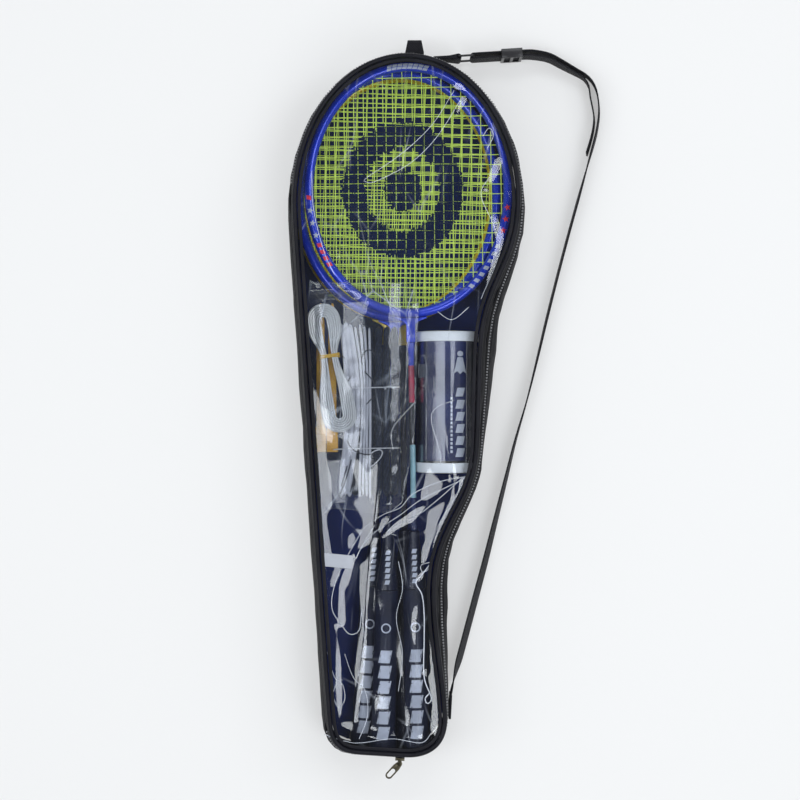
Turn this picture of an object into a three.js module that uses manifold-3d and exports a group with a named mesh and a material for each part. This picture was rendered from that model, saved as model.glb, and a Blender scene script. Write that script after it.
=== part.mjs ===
// A badminton set packed in a racket-shaped carry bag with a clear front: four rackets, a folded
// net with its rope and pegs in a film pouch, and a tube of shuttlecocks. The bag lies on its back.
// Millimetres. +Z points out of the clear front, +Y from the grips to the racket heads, and the
// origin is under the middle of the bag, on the face that it lies on.
import * as THREE from "three";
import { mergeVertices } from "three/addons/utils/BufferGeometryUtils.js";
import Module from "manifold-3d";

const wasm = await Module();
wasm.setup();

// ---------------------------------------------------------------- driving sizes

const GAP = 0.3; // air between two pieces that touch

// rackets
const RACKET_LENGTH = 675.5;
const RIM_HALF_WIDTH = 102.8; // to the outside of the rim
const RIM_HALF_HEIGHT = 125.9;
const RIM_DIAMETER = 9.6;
const STRING_BED_THICKNESS = 1.4;
const THROAT_HALF_WIDTH = 16;
const THROAT_WEB = 3.2;
const THROAT_STEM_WIDTH = 9;
const THROAT_LENGTH = 24;
const SHAFT_RADIUS = 3;
const CONE_LENGTH = 56;
const CONE_TOP_RADIUS = 5.5;
const GRIP_LENGTH = 158;
const GRIP_RADIUS = 12.5;
const BUTT_FLARE = 1.5; // how much the butt is thicker than the grip, all round
const BUTT_LENGTH = 14;
const RIM_SPACING = 3; // air between the rims in the pile
const FRONT_RACKET_RISE = 2.7; // the front racket rides this much higher on the pile
const PILE_LIFT = 2.2; // air under the lowest rim
const HEAD_GAP = 2.1; // between the front racket's rim and the bag's top line
const GRIP_LIFT = 1.3; // air under the lowest grips
const GRIP_NESTING = 3.6; // how far the second grip sinks between the two under it
const FRONT_GRIP_X = 15.8;
const LOWEST_GRIP_X = 6;

// bag
const PANEL_THICKNESS = 1.5;
const WALL_THICKNESS = 1.2;
const WINDOW_THICKNESS = 0.6;
const PIPING_RADIUS = 3.2;
const FILM_CLEARANCE = 2.4; // air between the highest thing in the bag and the clear front
const HEAD_CLEARANCE = 6.2; // between the rims and the line of the front piping
const HEAD_ARCH = 17.6; // how much further than the rims the top of the bag reaches
const BULGE = 9; // how far the wall swells past the piping halfway up
const BULGE_PHASE = 0.3; // the swelling's share at the back edge, as a part of a half wave
const ZIP_DROP = 16; // from the front piping's centre down to the zip's teeth
const ZIP_TAPE_WIDTH = 5.5;
const CORNER_RADIUS = 28;
const WAIST_CLEARANCE = 2.2; // between the front grip and the front edge of the waist
const WAIST_SWELL = 15; // how far the wall swells there
const HEEL_CLEARANCE = 13.9; // the same at the lower end
const HEEL_SWELL = 4.3;
const HINGE_END_HALF = 68.4; // the lower end's place to the left of the axis
const SHOULDER_BULGE = 18.4; // the wall swells more at the right shoulder

// zip slider and puller
const SLIDER_LENGTH = 9;
const SLIDER_HEIGHT = 8;
const SLIDER_THICKNESS = 2.4;
const PULLER_LENGTH = 19;
const PULLER_WIDTH = 7;
const PULLER_THICKNESS = 1.4;
const PULLER_REST_TURN = -39; // degrees from straight out, seen from above
const PIN_RADIUS = 0.8;
const PIN_CLEARANCE = 0.4;

// shoulder strap
const STRAP_WIDTH = 20;
const STRAP_THICKNESS = 1.5;
const STRAP_LIFT = 0.4; // air under the strap, which stands on its edge
const RING_WIRE = 2.6;
const RING_SPAN = 15;
const STRAP_SLIDER_LENGTH = 21;
const STRAP_SLIDER_WALL = 1.2;
const STRAP_SLIDER_BAR = 3;
const STRAP_RISE = 3.5; // degrees, the straight stretch between the ring and the slider
const RING_X = 66;
const TAB_LENGTH = 25;
const TAB_MARGIN = 0.6; // air between the lower tab and the back piping
const STRAP_END_RISE = 50.8; // from the bag's lower end up to the strap's
const TAB_END_RISE = 38; // the same to the middle of the lower tab
const STRAP_SLIDER_REACH = 46; // from the middle of the ring to the middle of the slider

// hanging loop and seam label
const LOOP_WIDTH = 19;
const LOOP_LENGTH = 14.5;
const LOOP_INNER_RADIUS = 3.2;
const LOOP_THICKNESS = 1.5;
const LOOP_X = 14.5;
const LABEL_LENGTH = 29;
const LABEL_WIDTH = 13;
const LABEL_THICKNESS = 0.5;

// shuttle tube
const TUBE_RADIUS = 30.5;
const TUBE_WALL = 0.8;
const TUBE_LENGTH = 139.1; // over both caps
const TUBE_LEFT = 14.7;
const TUBE_DROP = 13; // from the front rim's lower edge down to the tube
const TUBE_LIFT = 2.4; // air under the tube
const TUBE_SQUEEZE = 3; // how far the front edge of the side lies in over the tube
const TUBE_MARGIN = 4.6; // air beside the tube where the wall is widest
const CAP_HEIGHT = 10;
const CAP_WALL = 0.7;
const CAP_BASE = 1.6;
const SHUTTLE_COUNT = 3;
const SHUTTLE_PITCH = 26;
const CORK_RADIUS = 13;
const CORK_LENGTH = 25;
const SKIRT_LENGTH = 55.5;
const SKIRT_THICKNESS = 0.8;

// net, rope and pegs
const NET_LENGTH = 174;
const NET_WIDTH = 57;
const NET_RIGHT = 1;
const NET_DROP = 4.6; // from the front rim's lower edge down to the net
const NET_LIFT = 1.6; // air between the second racket's rim and the net
const NET_THICKNESS = 11.5;
const TAPE_THICKNESS = 5.7;
const HANK_THICKNESS = 7;
const HANK_UPPER_RADIUS = 14;
const HANK_LOWER_RADIUS = 16.5;
const HANK_WAIST_HALF = 8;
const HANK_BAND_WIDTH = 5;
const HANK_BAND_THICKNESS = 1;
const POUCH_THICKNESS = 0.5;
const PEG_LENGTH = 146;
const PEG_HEAD_LENGTH = 26;
const PEG_WIDTH = 11;

// ---------------------------------------------------------------- worked out from them

const RIM_RADIUS = RIM_DIAMETER / 2;
const PIPING_Z_BACK = PIPING_RADIUS + GAP;
const SEAM = PIPING_RADIUS + GAP; // a panel's or wall's distance from its piping's centre
const BAG_CENTRE_X = 6.3; // the middle of the bag's round head
const BAG_HEAD_Y = 191; // the widest line of the bag's round head
const BAG_HEAD_HALF = RIM_HALF_WIDTH + HEAD_CLEARANCE;
const BAG_HEAD_RISE = RIM_HALF_HEIGHT + HEAD_ARCH;
const BAG_TOP = BAG_HEAD_Y + BAG_HEAD_RISE;
const BAG_BOTTOM = BAG_TOP - RACKET_LENGTH - 3.4;
const BOTTOM_SLOPE = 3;
const RIM_FOOT_Y = BAG_TOP - HEAD_GAP - 2 * RIM_HALF_HEIGHT; // the front rim's lower edge
const TUBE_TOP = RIM_FOOT_Y - TUBE_DROP;
const NET_TOP = RIM_FOOT_Y - NET_DROP;
const SHOULDER_Y = TUBE_TOP - 9.4;
const SIDE_Y = TUBE_TOP - TUBE_LENGTH + 23;
const WAIST_Y = BAG_BOTTOM + 160;
const HEEL_Y = BAG_BOTTOM + 38.8;
const LAYER_OFFSET = RING_WIRE / 2 + GAP + STRAP_THICKNESS / 2;
const CAP_RADIUS = TUBE_RADIUS + GAP + CAP_WALL;
const TUBE_Z = PANEL_THICKNESS + CAP_RADIUS + TUBE_LIFT;
const TUBE_X = TUBE_LEFT + CAP_RADIUS;
const TUBE_MIDDLE_Y = TUBE_TOP - TUBE_LENGTH / 2;
const SIDE_X = TUBE_X + CAP_RADIUS - TUBE_SQUEEZE;
const SIDE_BULGE_X = TUBE_X + CAP_RADIUS + WALL_THICKNESS + TUBE_MARGIN;
const BUTT_RADIUS = GRIP_RADIUS + BUTT_FLARE;
const WAIST_X = FRONT_GRIP_X + BUTT_RADIUS + WAIST_CLEARANCE;
const HEEL_X = FRONT_GRIP_X + BUTT_RADIUS + HEEL_CLEARANCE;
const RACKET_PITCH = RIM_DIAMETER + RIM_SPACING; // from one racket's plane to the next
const BOTTOM_RACKET_Z = PANEL_THICKNESS + RIM_RADIUS + PILE_LIFT;
const NET_Z = BOTTOM_RACKET_Z + 2 * RACKET_PITCH + RIM_RADIUS + NET_LIFT;
const TAPE_Z = NET_Z + NET_THICKNESS + GAP;
const HANK_Z = TAPE_Z + TAPE_THICKNESS + HANK_BAND_THICKNESS + 2 * GAP;
const POUCH_Z = HANK_Z + HANK_THICKNESS + HANK_BAND_THICKNESS + 2 * GAP;
const CONTENTS_TOP = Math.max(POUCH_Z + POUCH_THICKNESS, TUBE_Z + CAP_RADIUS);
const PIPING_Z_FRONT = CONTENTS_TOP + FILM_CLEARANCE + WINDOW_THICKNESS / 2;
const ZIP_Z = PIPING_Z_FRONT - ZIP_DROP;
const STRAP_CENTRE_HEIGHT = STRAP_WIDTH / 2 + STRAP_LIFT;
const RING_CENTRE_HEIGHT = 2 * PIPING_Z_BACK + STRAP_WIDTH / 2;
const RAD = Math.PI / 180;

// ---------------------------------------------------------------- materials

function material(color, roughness, metalness = 0) {
  return new THREE.MeshStandardMaterial({ color, roughness, metalness });
}

const clearFilm = (opacity) =>
  new THREE.MeshStandardMaterial({ color: 0xd9e0ea, roughness: 0.15, transparent: true, opacity });

const FABRIC = material(0x3a393d, 0.9);
const LINING = material(0x131b46, 0.8);
const BINDING = material(0x121216, 0.55);
const WEBBING = material(0x16141a, 0.85);
const ZIP_TAPE = material(0x29282c, 0.8);
const DARK_METAL = material(0x3a372c, 0.4, 0.8);
const STRAP_PLASTIC = material(0x1c1a1e, 0.5);
const WINDOW_FILM = clearFilm(0.25);
const POUCH_FILM = clearFilm(0.3);
const TUBE_PLASTIC = clearFilm(0.35);
const CAP_PLASTIC = material(0xe9ebee, 0.4);
const BLUE_PAINT = material(0x1433b8, 0.3, 0.2);
const GOLD_PAINT = material(0xb8912a, 0.3, 0.3);
const GOLD_SHAFT = material(0xc0782a, 0.35, 0.2);
const STRINGS = material(0xc6e36a, 0.5);
const GRIP_TAPE = material(0x17181d, 0.8);
const CONE_PLASTIC = material(0x101116, 0.4);
const NET_MESH = material(0x17191f, 0.95);
const NET_TAPE = material(0xdfe3ea, 0.85);
const ROPE = material(0xf1f3f0, 0.8);
const RUBBER_BAND = material(0xd8a92c, 0.6);
const PEG_PLASTIC = material(0xe39a1f, 0.45);
const CORK = material(0xe8dfc8, 0.8);
const SKIRT = material(0xf3f5f2, 0.5);
const LABEL_CLOTH = material(0xe9ebf0, 0.85);

// ---------------------------------------------------------------- shared shapes

function volumeOf(geometry) {
  const p = geometry.attributes.position;
  const corner = [0, 1, 2].map(() => new THREE.Vector3());
  let volume = 0;
  for (let i = 0; i < geometry.index.count; i += 3) {
    corner.forEach((c, k) => c.fromBufferAttribute(p, geometry.index.getX(i + k)));
    volume += corner[0].dot(corner[1].cross(corner[2])) / 6;
  }
  return volume;
}

// The shape with its seams welded and its faces pointing out.
function closed(shape) {
  const bare = new THREE.BufferGeometry();
  bare.setAttribute("position", shape.getAttribute("position").clone());
  bare.setIndex(shape.index);
  const welded = mergeVertices(bare, 1e-4);
  const whole = [];
  for (let i = 0; i < welded.index.count; i += 3) {
    const [a, b, c] = [0, 1, 2].map((k) => welded.index.getX(i + k));
    if (a !== b && b !== c && c !== a) whole.push(a, b, c);
  }
  welded.setIndex(whole);
  if (volumeOf(welded) < 0) welded.setIndex(whole.reverse());
  welded.computeVertexNormals();
  return welded;
}

// A skin over rows of points: the rows follow the piece and each row is one closed section.
function skin(rows, isLoop) {
  const across = rows[0].length;
  const spans = isLoop ? rows.length : rows.length - 1;
  const index = [];
  for (let i = 0; i < spans; i++) {
    const here = i * across;
    const ahead = ((i + 1) % rows.length) * across;
    for (let j = 0; j < across; j++) {
      const k = (j + 1) % across;
      index.push(here + j, ahead + j, ahead + k, here + j, ahead + k, here + k);
    }
  }
  if (!isLoop) {
    const end = spans * across;
    for (let j = 1; j < across - 1; j++) {
      index.push(0, j, j + 1, end, end + j + 1, end + j);
    }
  }
  const shape = new THREE.BufferGeometry();
  const xyz = rows.flat().flatMap((p) => [p.x, p.y, p.z]);
  shape.setAttribute("position", new THREE.Float32BufferAttribute(xyz, 3));
  shape.setIndex(index);
  return closed(shape);
}

function plate(outline, bottom, thickness, holes = []) {
  const shape = new THREE.Shape(outline);
  holes.forEach((hole) => shape.holes.push(new THREE.Path(hole)));
  const made = new THREE.ExtrudeGeometry(shape, { depth: thickness, bevelEnabled: false });
  return closed(made.translate(0, 0, bottom));
}

// A turned piece about the Y axis; the profile holds [radius, y] pairs.
function turned(profile, sides) {
  const points = profile.map(([radius, y]) => new THREE.Vector2(radius, y));
  return closed(new THREE.LatheGeometry(points, sides));
}

function block(width, depth, height, x, y, z) {
  return closed(new THREE.BoxGeometry(width, depth, height).translate(x, y, z));
}

function circlePoints(x, y, radius, count) {
  return Array.from({ length: count }, (_, i) => {
    const turn = (i / count) * 2 * Math.PI;
    return new THREE.Vector2(x + radius * Math.cos(turn), y + radius * Math.sin(turn));
  });
}

function arcPoints(x, y, radius, from, to, steps) {
  return Array.from({ length: steps + 1 }, (_, i) => {
    const turn = (from + ((to - from) * i) / steps) * RAD;
    return new THREE.Vector2(x + radius * Math.cos(turn), y + radius * Math.sin(turn));
  });
}

function toManifold(shape) {
  const welded = closed(shape);
  return new wasm.Manifold(
    new wasm.Mesh({
      numProp: 3,
      vertProperties: new Float32Array(welded.attributes.position.array),
      triVerts: new Uint32Array(welded.index.array),
    }),
  );
}

function fromManifold(solid) {
  const { vertProperties, triVerts } = solid.getMesh();
  const shape = new THREE.BufferGeometry();
  shape.setAttribute("position", new THREE.BufferAttribute(vertProperties, 3));
  shape.setIndex(new THREE.BufferAttribute(triVerts, 1));
  return closed(shape);
}

function joined(shapes) {
  return fromManifold(shapes.map(toManifold).reduce((all, next) => all.add(next)));
}

function cut(shape, tools) {
  return fromManifold(tools.map(toManifold).reduce((all, tool) => all.subtract(tool), toManifold(shape)));
}

const set = new THREE.Group();

function add(name, shape, finish, parent = set) {
  const mesh = new THREE.Mesh(shape, finish);
  mesh.name = name;
  parent.add(mesh);
  return mesh;
}

// ---------------------------------------------------------------- the bag's outline

// One loop round the bag, anticlockwise from the right side of the head, with the same number of
// points at every height, so that walls can be drawn between two of them.
const HEAD_STEPS = 22;
const LEFT_STEPS = 6;
const LEFT_TURN = 185; // degrees: where the head's arc runs into the straight left side

function bagOutline(level) {
  const points = [];
  const follow = (curve, steps) => points.push(...curve.getPoints(steps).slice(1));
  const at = (x, y) => new THREE.Vector2(x, y);
  const half = BAG_HEAD_HALF + level.out;
  const rise = BAG_HEAD_RISE + level.out;
  const headEnd = LEFT_TURN * RAD;
  const head = new THREE.EllipseCurve(BAG_CENTRE_X, BAG_HEAD_Y, half, rise, 0, headEnd, false, 0);
  follow(head, HEAD_STEPS);
  const leftTop = points[points.length - 1];
  const leftLow = at(-HINGE_END_HALF - level.out, BAG_BOTTOM + CORNER_RADIUS + BOTTOM_SLOPE);
  follow(new THREE.LineCurve(leftTop, leftLow), LEFT_STEPS);
  const bottomLeft = at(leftLow.x + CORNER_RADIUS, BAG_BOTTOM + BOTTOM_SLOPE - level.out);
  const cornerLeft = at(leftLow.x + 2, bottomLeft.y);
  follow(new THREE.QuadraticBezierCurve(leftLow, cornerLeft, bottomLeft), 5);
  const bottomRight = at(8, BAG_BOTTOM - level.out);
  follow(new THREE.LineCurve(bottomLeft, bottomRight), 3);
  const heel = at(level.heel, HEEL_Y);
  const heelLow = at(level.heel + 2, HEEL_Y - 27);
  const bottomPull = at(HEEL_X - HEEL_CLEARANCE + 0.2, BAG_BOTTOM - level.out);
  follow(new THREE.CubicBezierCurve(bottomRight, bottomPull, heelLow, heel), 7);
  const waist = at(level.waist, WAIST_Y);
  const waistLow = at(level.waist, WAIST_Y - 44);
  follow(new THREE.CubicBezierCurve(heel, at(level.heel - 1, HEEL_Y + 34), waistLow, waist), 4);
  const side = at(level.side, SIDE_Y);
  const waistHigh = at(level.waist, WAIST_Y + 63);
  follow(new THREE.CubicBezierCurve(waist, waistHigh, at(level.side - 2, SIDE_Y - 53), side), 7);
  const shoulder = at(level.shoulder, SHOULDER_Y);
  follow(new THREE.LineCurve(side, shoulder), 3);
  const headRight = at(BAG_CENTRE_X + half, BAG_HEAD_Y);
  const shoulderHigh = at(level.shoulder + 4, SHOULDER_Y + 56);
  const headLow = at(headRight.x, BAG_HEAD_Y - 55);
  follow(new THREE.CubicBezierCurve(shoulder, shoulderHigh, headLow, headRight), 6);
  return points;
}

function loopNormals(points) {
  return points.map((_, i) => {
    const before = points[(i + points.length - 1) % points.length];
    const after = points[(i + 1) % points.length];
    return new THREE.Vector2(after.y - before.y, before.x - after.x).normalize();
  });
}

const FRONT_LEVEL = {
  out: 0,
  shoulder: SIDE_X + 2.9,
  side: SIDE_X,
  waist: WAIST_X,
  heel: HEEL_X,
};
const BELLY_LEVEL = {
  out: BULGE,
  shoulder: SIDE_X + 2.9 + SHOULDER_BULGE,
  side: SIDE_BULGE_X,
  waist: WAIST_X + WAIST_SWELL,
  heel: HEEL_X + HEEL_SWELL,
};
const frontLoop = bagOutline(FRONT_LEVEL);
const bellyLoop = bagOutline(BELLY_LEVEL);
const outward = loopNormals(frontLoop);
const everyStep = frontLoop.map((_, i) => i);

// The straight left side is the fold that the cover opens on; the zip runs round the rest.
const hingeFirst = HEAD_STEPS - 1;
const hingeLast = HEAD_STEPS - 1 + LEFT_STEPS;
const onHinge = (i) => i >= hingeFirst && i <= hingeLast;
const zipSteps = [
  ...everyStep.filter((i) => i > hingeLast),
  ...everyStep.filter((i) => i < hingeFirst),
];

function bulgeAt(z) {
  const t = (z - PIPING_Z_BACK) / (PIPING_Z_FRONT - PIPING_Z_BACK);
  return Math.sin(Math.PI * (BULGE_PHASE + (1 - BULGE_PHASE) * t));
}

function wallPoint(i, z, offset) {
  const p = frontLoop[i].clone().lerp(bellyLoop[i], bulgeAt(z));
  p.addScaledVector(outward[i], offset);
  return new THREE.Vector3(p.x, p.y, z);
}

function flatOutline(z, offset) {
  return everyStep.map((i) => {
    const p = wallPoint(i, z, offset);
    return new THREE.Vector2(p.x, p.y);
  });
}

// A wall between two heights, given for each step round the bag.
function wall(steps, lowAt, highAt, spans, isLoop) {
  const half = WALL_THICKNESS / 2;
  const rows = steps.map((i) => {
    const heights = Array.from(
      { length: spans + 1 },
      (_, k) => lowAt(i) + ((highAt(i) - lowAt(i)) * k) / spans,
    );
    const outside = heights.map((z) => wallPoint(i, z, half));
    const inside = heights.map((z) => wallPoint(i, z, -half)).reverse();
    return [...outside, ...inside];
  });
  return skin(rows, isLoop);
}

function piping(z) {
  const sides = 6;
  const rows = everyStep.map((i) => {
    const centre = wallPoint(i, z, 0);
    return Array.from({ length: sides }, (_, k) => {
      const turn = (k / sides) * 2 * Math.PI;
      const reach = PIPING_RADIUS * Math.cos(turn);
      return new THREE.Vector3(
        centre.x + outward[i].x * reach,
        centre.y + outward[i].y * reach,
        centre.z + PIPING_RADIUS * Math.sin(turn),
      );
    });
  });
  return skin(rows, true);
}

// ---------------------------------------------------------------- the bag

function addBag() {
  const lowerTapeFoot = ZIP_Z - GAP / 2 - ZIP_TAPE_WIDTH;
  const upperTapeHead = ZIP_Z + GAP / 2 + ZIP_TAPE_WIDTH;
  const wallTop = (i) => (onHinge(i) ? ZIP_Z - GAP / 2 : lowerTapeFoot - GAP);
  const coverFoot = (i) => (onHinge(i) ? ZIP_Z + GAP / 2 : upperTapeHead + GAP);
  const level = (z) => () => z;
  add("back_panel", plate(flatOutline(PIPING_Z_BACK, -SEAM), 0, PANEL_THICKNESS), LINING);
  add("back_piping", piping(PIPING_Z_BACK), BINDING);
  const wallFoot = level(PIPING_Z_BACK + SEAM);
  add("side_wall", wall(everyStep, wallFoot, wallTop, 3, true), FABRIC);
  const lowerTape = wall(zipSteps, level(lowerTapeFoot), level(ZIP_Z - GAP / 2), 1, false);
  add("zip_tape_lower", lowerTape, ZIP_TAPE);
  const upperTape = wall(zipSteps, level(ZIP_Z + GAP / 2), level(upperTapeHead), 1, false);
  add("zip_tape_upper", upperTape, ZIP_TAPE);
  const coverTop = level(PIPING_Z_FRONT - SEAM);
  add("cover_wall", wall(everyStep, coverFoot, coverTop, 1, true), FABRIC);
  add("front_piping", piping(PIPING_Z_FRONT), BINDING);
  const windowOutline = flatOutline(PIPING_Z_FRONT, -SEAM);
  const windowFoot = PIPING_Z_FRONT - WINDOW_THICKNESS / 2;
  add("front_window", plate(windowOutline, windowFoot, WINDOW_THICKNESS), WINDOW_FILM);
}

// A folded webbing band, open at the wall, standing out of the middle of the bag's top.
function addHangingLoop() {
  const outer = LOOP_INNER_RADIUS + LOOP_THICKNESS;
  const reach = LOOP_LENGTH - outer;
  const band = [
    new THREE.Vector2(0, -outer),
    ...arcPoints(reach, 0, outer, -90, 90, 8),
    new THREE.Vector2(0, outer),
    new THREE.Vector2(0, LOOP_INNER_RADIUS),
    ...arcPoints(reach, 0, LOOP_INNER_RADIUS, 90, -90, 8),
    new THREE.Vector2(0, -LOOP_INNER_RADIUS),
  ];
  const shape = plate(band, -LOOP_WIDTH / 2, LOOP_WIDTH);
  shape.rotateX(Math.PI / 2);
  shape.rotateZ(Math.PI / 2);
  const z = (PIPING_Z_BACK + ZIP_Z) / 2;
  const topOfWall = BAG_TOP + BULGE + WALL_THICKNESS / 2 + GAP;
  const loop = add("hanging_loop", shape, WEBBING);
  loop.position.set(LOOP_X, topOfWall, z);
}

function addSeamLabel() {
  const label = block(LABEL_LENGTH, LABEL_WIDTH, LABEL_THICKNESS, LABEL_LENGTH / 2, 0, 0);
  const mesh = add("seam_label", label, LABEL_CLOTH);
  const y = WAIST_Y + 30;
  const top = frontLoop[hingeFirst];
  const low = frontLoop[hingeLast];
  const fold = THREE.MathUtils.mapLinear(y, low.y, top.y, low.x, top.x);
  const leftEdge = fold + SEAM + 1.5;
  const z = PIPING_Z_FRONT + WINDOW_THICKNESS / 2 + GAP + LABEL_THICKNESS / 2;
  mesh.position.set(leftEdge, y, z);
  mesh.rotation.z = -6 * RAD;
}

// The slider rides on the outside of both zip tapes along the bag's lower end. The puller turns on
// a pin between two ears.
function addZipSlider() {
  const slope = Math.atan2(-BOTTOM_SLOPE, 8 + HINGE_END_HALF - CORNER_RADIUS);
  const wallFace = BULGE * bulgeAt(ZIP_Z - SLIDER_HEIGHT / 2) + WALL_THICKNESS / 2;
  const holder = new THREE.Group();
  holder.position.set(0, BAG_BOTTOM + 0.5 - wallFace - GAP, ZIP_Z);
  holder.rotation.z = slope;
  set.add(holder);
  const pinReach = SLIDER_THICKNESS + PULLER_WIDTH / 2 + GAP;
  const earWidth = 3.6;
  const earInner = PULLER_THICKNESS / 2 + GAP;
  const earOuter = SLIDER_HEIGHT / 2;
  const ear = (side) => {
    const middle = (side * (earInner + earOuter)) / 2;
    return block(earWidth, pinReach + 1.6, earOuter - earInner, 0, -(pinReach + 1.6) / 2, middle);
  };
  const body = block(SLIDER_LENGTH, SLIDER_THICKNESS, SLIDER_HEIGHT, 0, -SLIDER_THICKNESS / 2, 0);
  const pin = plate(circlePoints(0, -pinReach, PIN_RADIUS, 10), -earInner - 0.5, 2 * earInner + 1);
  add("zip_slider", joined([body, ear(1), ear(-1), pin]), DARK_METAL, holder);

  const half = PULLER_WIDTH / 2;
  const eye = 2.6;
  const outline = [
    ...arcPoints(0, 0, eye, 0, 180, 6),
    new THREE.Vector2(-half, -eye - 2),
    ...arcPoints(0, eye - PULLER_LENGTH + 1, half, 180, 360, 8),
    new THREE.Vector2(half, -eye - 2),
  ];
  const slotHalf = 2.1;
  const slot = [
    ...arcPoints(0, eye - PULLER_LENGTH + 1.2, slotHalf, 180, 360, 6),
    ...arcPoints(0, eye - PULLER_LENGTH + 7, slotHalf, 0, 180, 6),
  ];
  const eyeHole = circlePoints(0, 0, PIN_RADIUS + PIN_CLEARANCE, 10);
  const shape = plate(outline, -PULLER_THICKNESS / 2, PULLER_THICKNESS, [slot, eyeHole]);
  const puller = add("zip_puller", shape, DARK_METAL, holder);
  puller.position.set(0, -pinReach, 0);
  puller.rotation.z = PULLER_REST_TURN * RAD;
}

// ---------------------------------------------------------------- the shoulder strap

// The strap's routes over the surface that the bag lies on: how far right of the bag's
// heel, how far below its top, and how far the strap's lower edge is lifted.
const STRAP_ROUTE = [
  [86.6, -15.6, 5.2],
  [102, -12.9, 3.2],
  [115, -6.7, 1.4],
  [128.8, 0.7, 0],
  [140.3, 7.2, 0],
  [147.6, 15.3, 0],
  [151.6, 26.4, 0],
  [153.2, 43.6, 0],
  [151, 61.8, 0],
  [147.6, 75.9, 0],
  [143, 92.1, 0],
  [131.8, 132.5, 0],
  [120.7, 172.9, 0],
  [110.1, 213.3, 0],
  [100, 253.7, 0],
  [90.4, 294.1, 0],
  [80.3, 334.5, 0],
  [68.7, 374.9, 0],
  [58.6, 415.3, 0],
  [48.5, 455.7, 0],
  [38.4, 496.1, 0],
  [27.6, 536.5, 0.4],
  [16.8, 576.9, 1.6],
  [8, 609.5, 3.2],
  [3.4, 628.1, 6.2],
];
const TAIL_ROUTE = [
  [87, -10.7, 5.2],
  [101.4, -8.7, 3.2],
  [113.6, -3.1, 1.4],
  [127.4, 3.9, 0],
  [137.9, 10.2, 0],
  [142.9, 18.3, 0],
  [144.3, 28.4, 0],
  [146.6, 39.5, 0],
  [148.2, 50.7, 0],
  [147, 62.8, 0],
  [144, 74.9, 0],
  [140.6, 86, 0],
];

// Flat webbing standing on its edge: eight sides, with the width kept upright by Z.
function webbing(points, steps) {
  const curve = new THREE.CatmullRomCurve3(points, false, "centripetal");
  const half = STRAP_THICKNESS / 2;
  const tall = STRAP_WIDTH / 2;
  const round = half / 2;
  const section = [
    [half, tall - round],
    [half - round, tall],
    [round - half, tall],
    [-half, tall - round],
    [-half, round - tall],
    [round - half, -tall],
    [half - round, -tall],
    [half, round - tall],
  ];
  const rows = Array.from({ length: steps + 1 }, (_, i) => {
    const p = curve.getPointAt(i / steps);
    const along = curve.getTangentAt(i / steps);
    const across = new THREE.Vector2(along.y, -along.x).normalize();
    return section.map(([u, v]) => new THREE.Vector3(p.x + across.x * u, p.y + across.y * u, p.z + v));
  });
  return skin(rows, false);
}

// The height of the bag's round head at x, outside the wall where that swells most.
function headTop(x) {
  const swell = BULGE + WALL_THICKNESS / 2;
  const share = (x - BAG_CENTRE_X) / (BAG_HEAD_HALF + swell);
  return BAG_HEAD_Y + (BAG_HEAD_RISE + swell) * Math.sqrt(1 - share ** 2);
}

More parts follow.
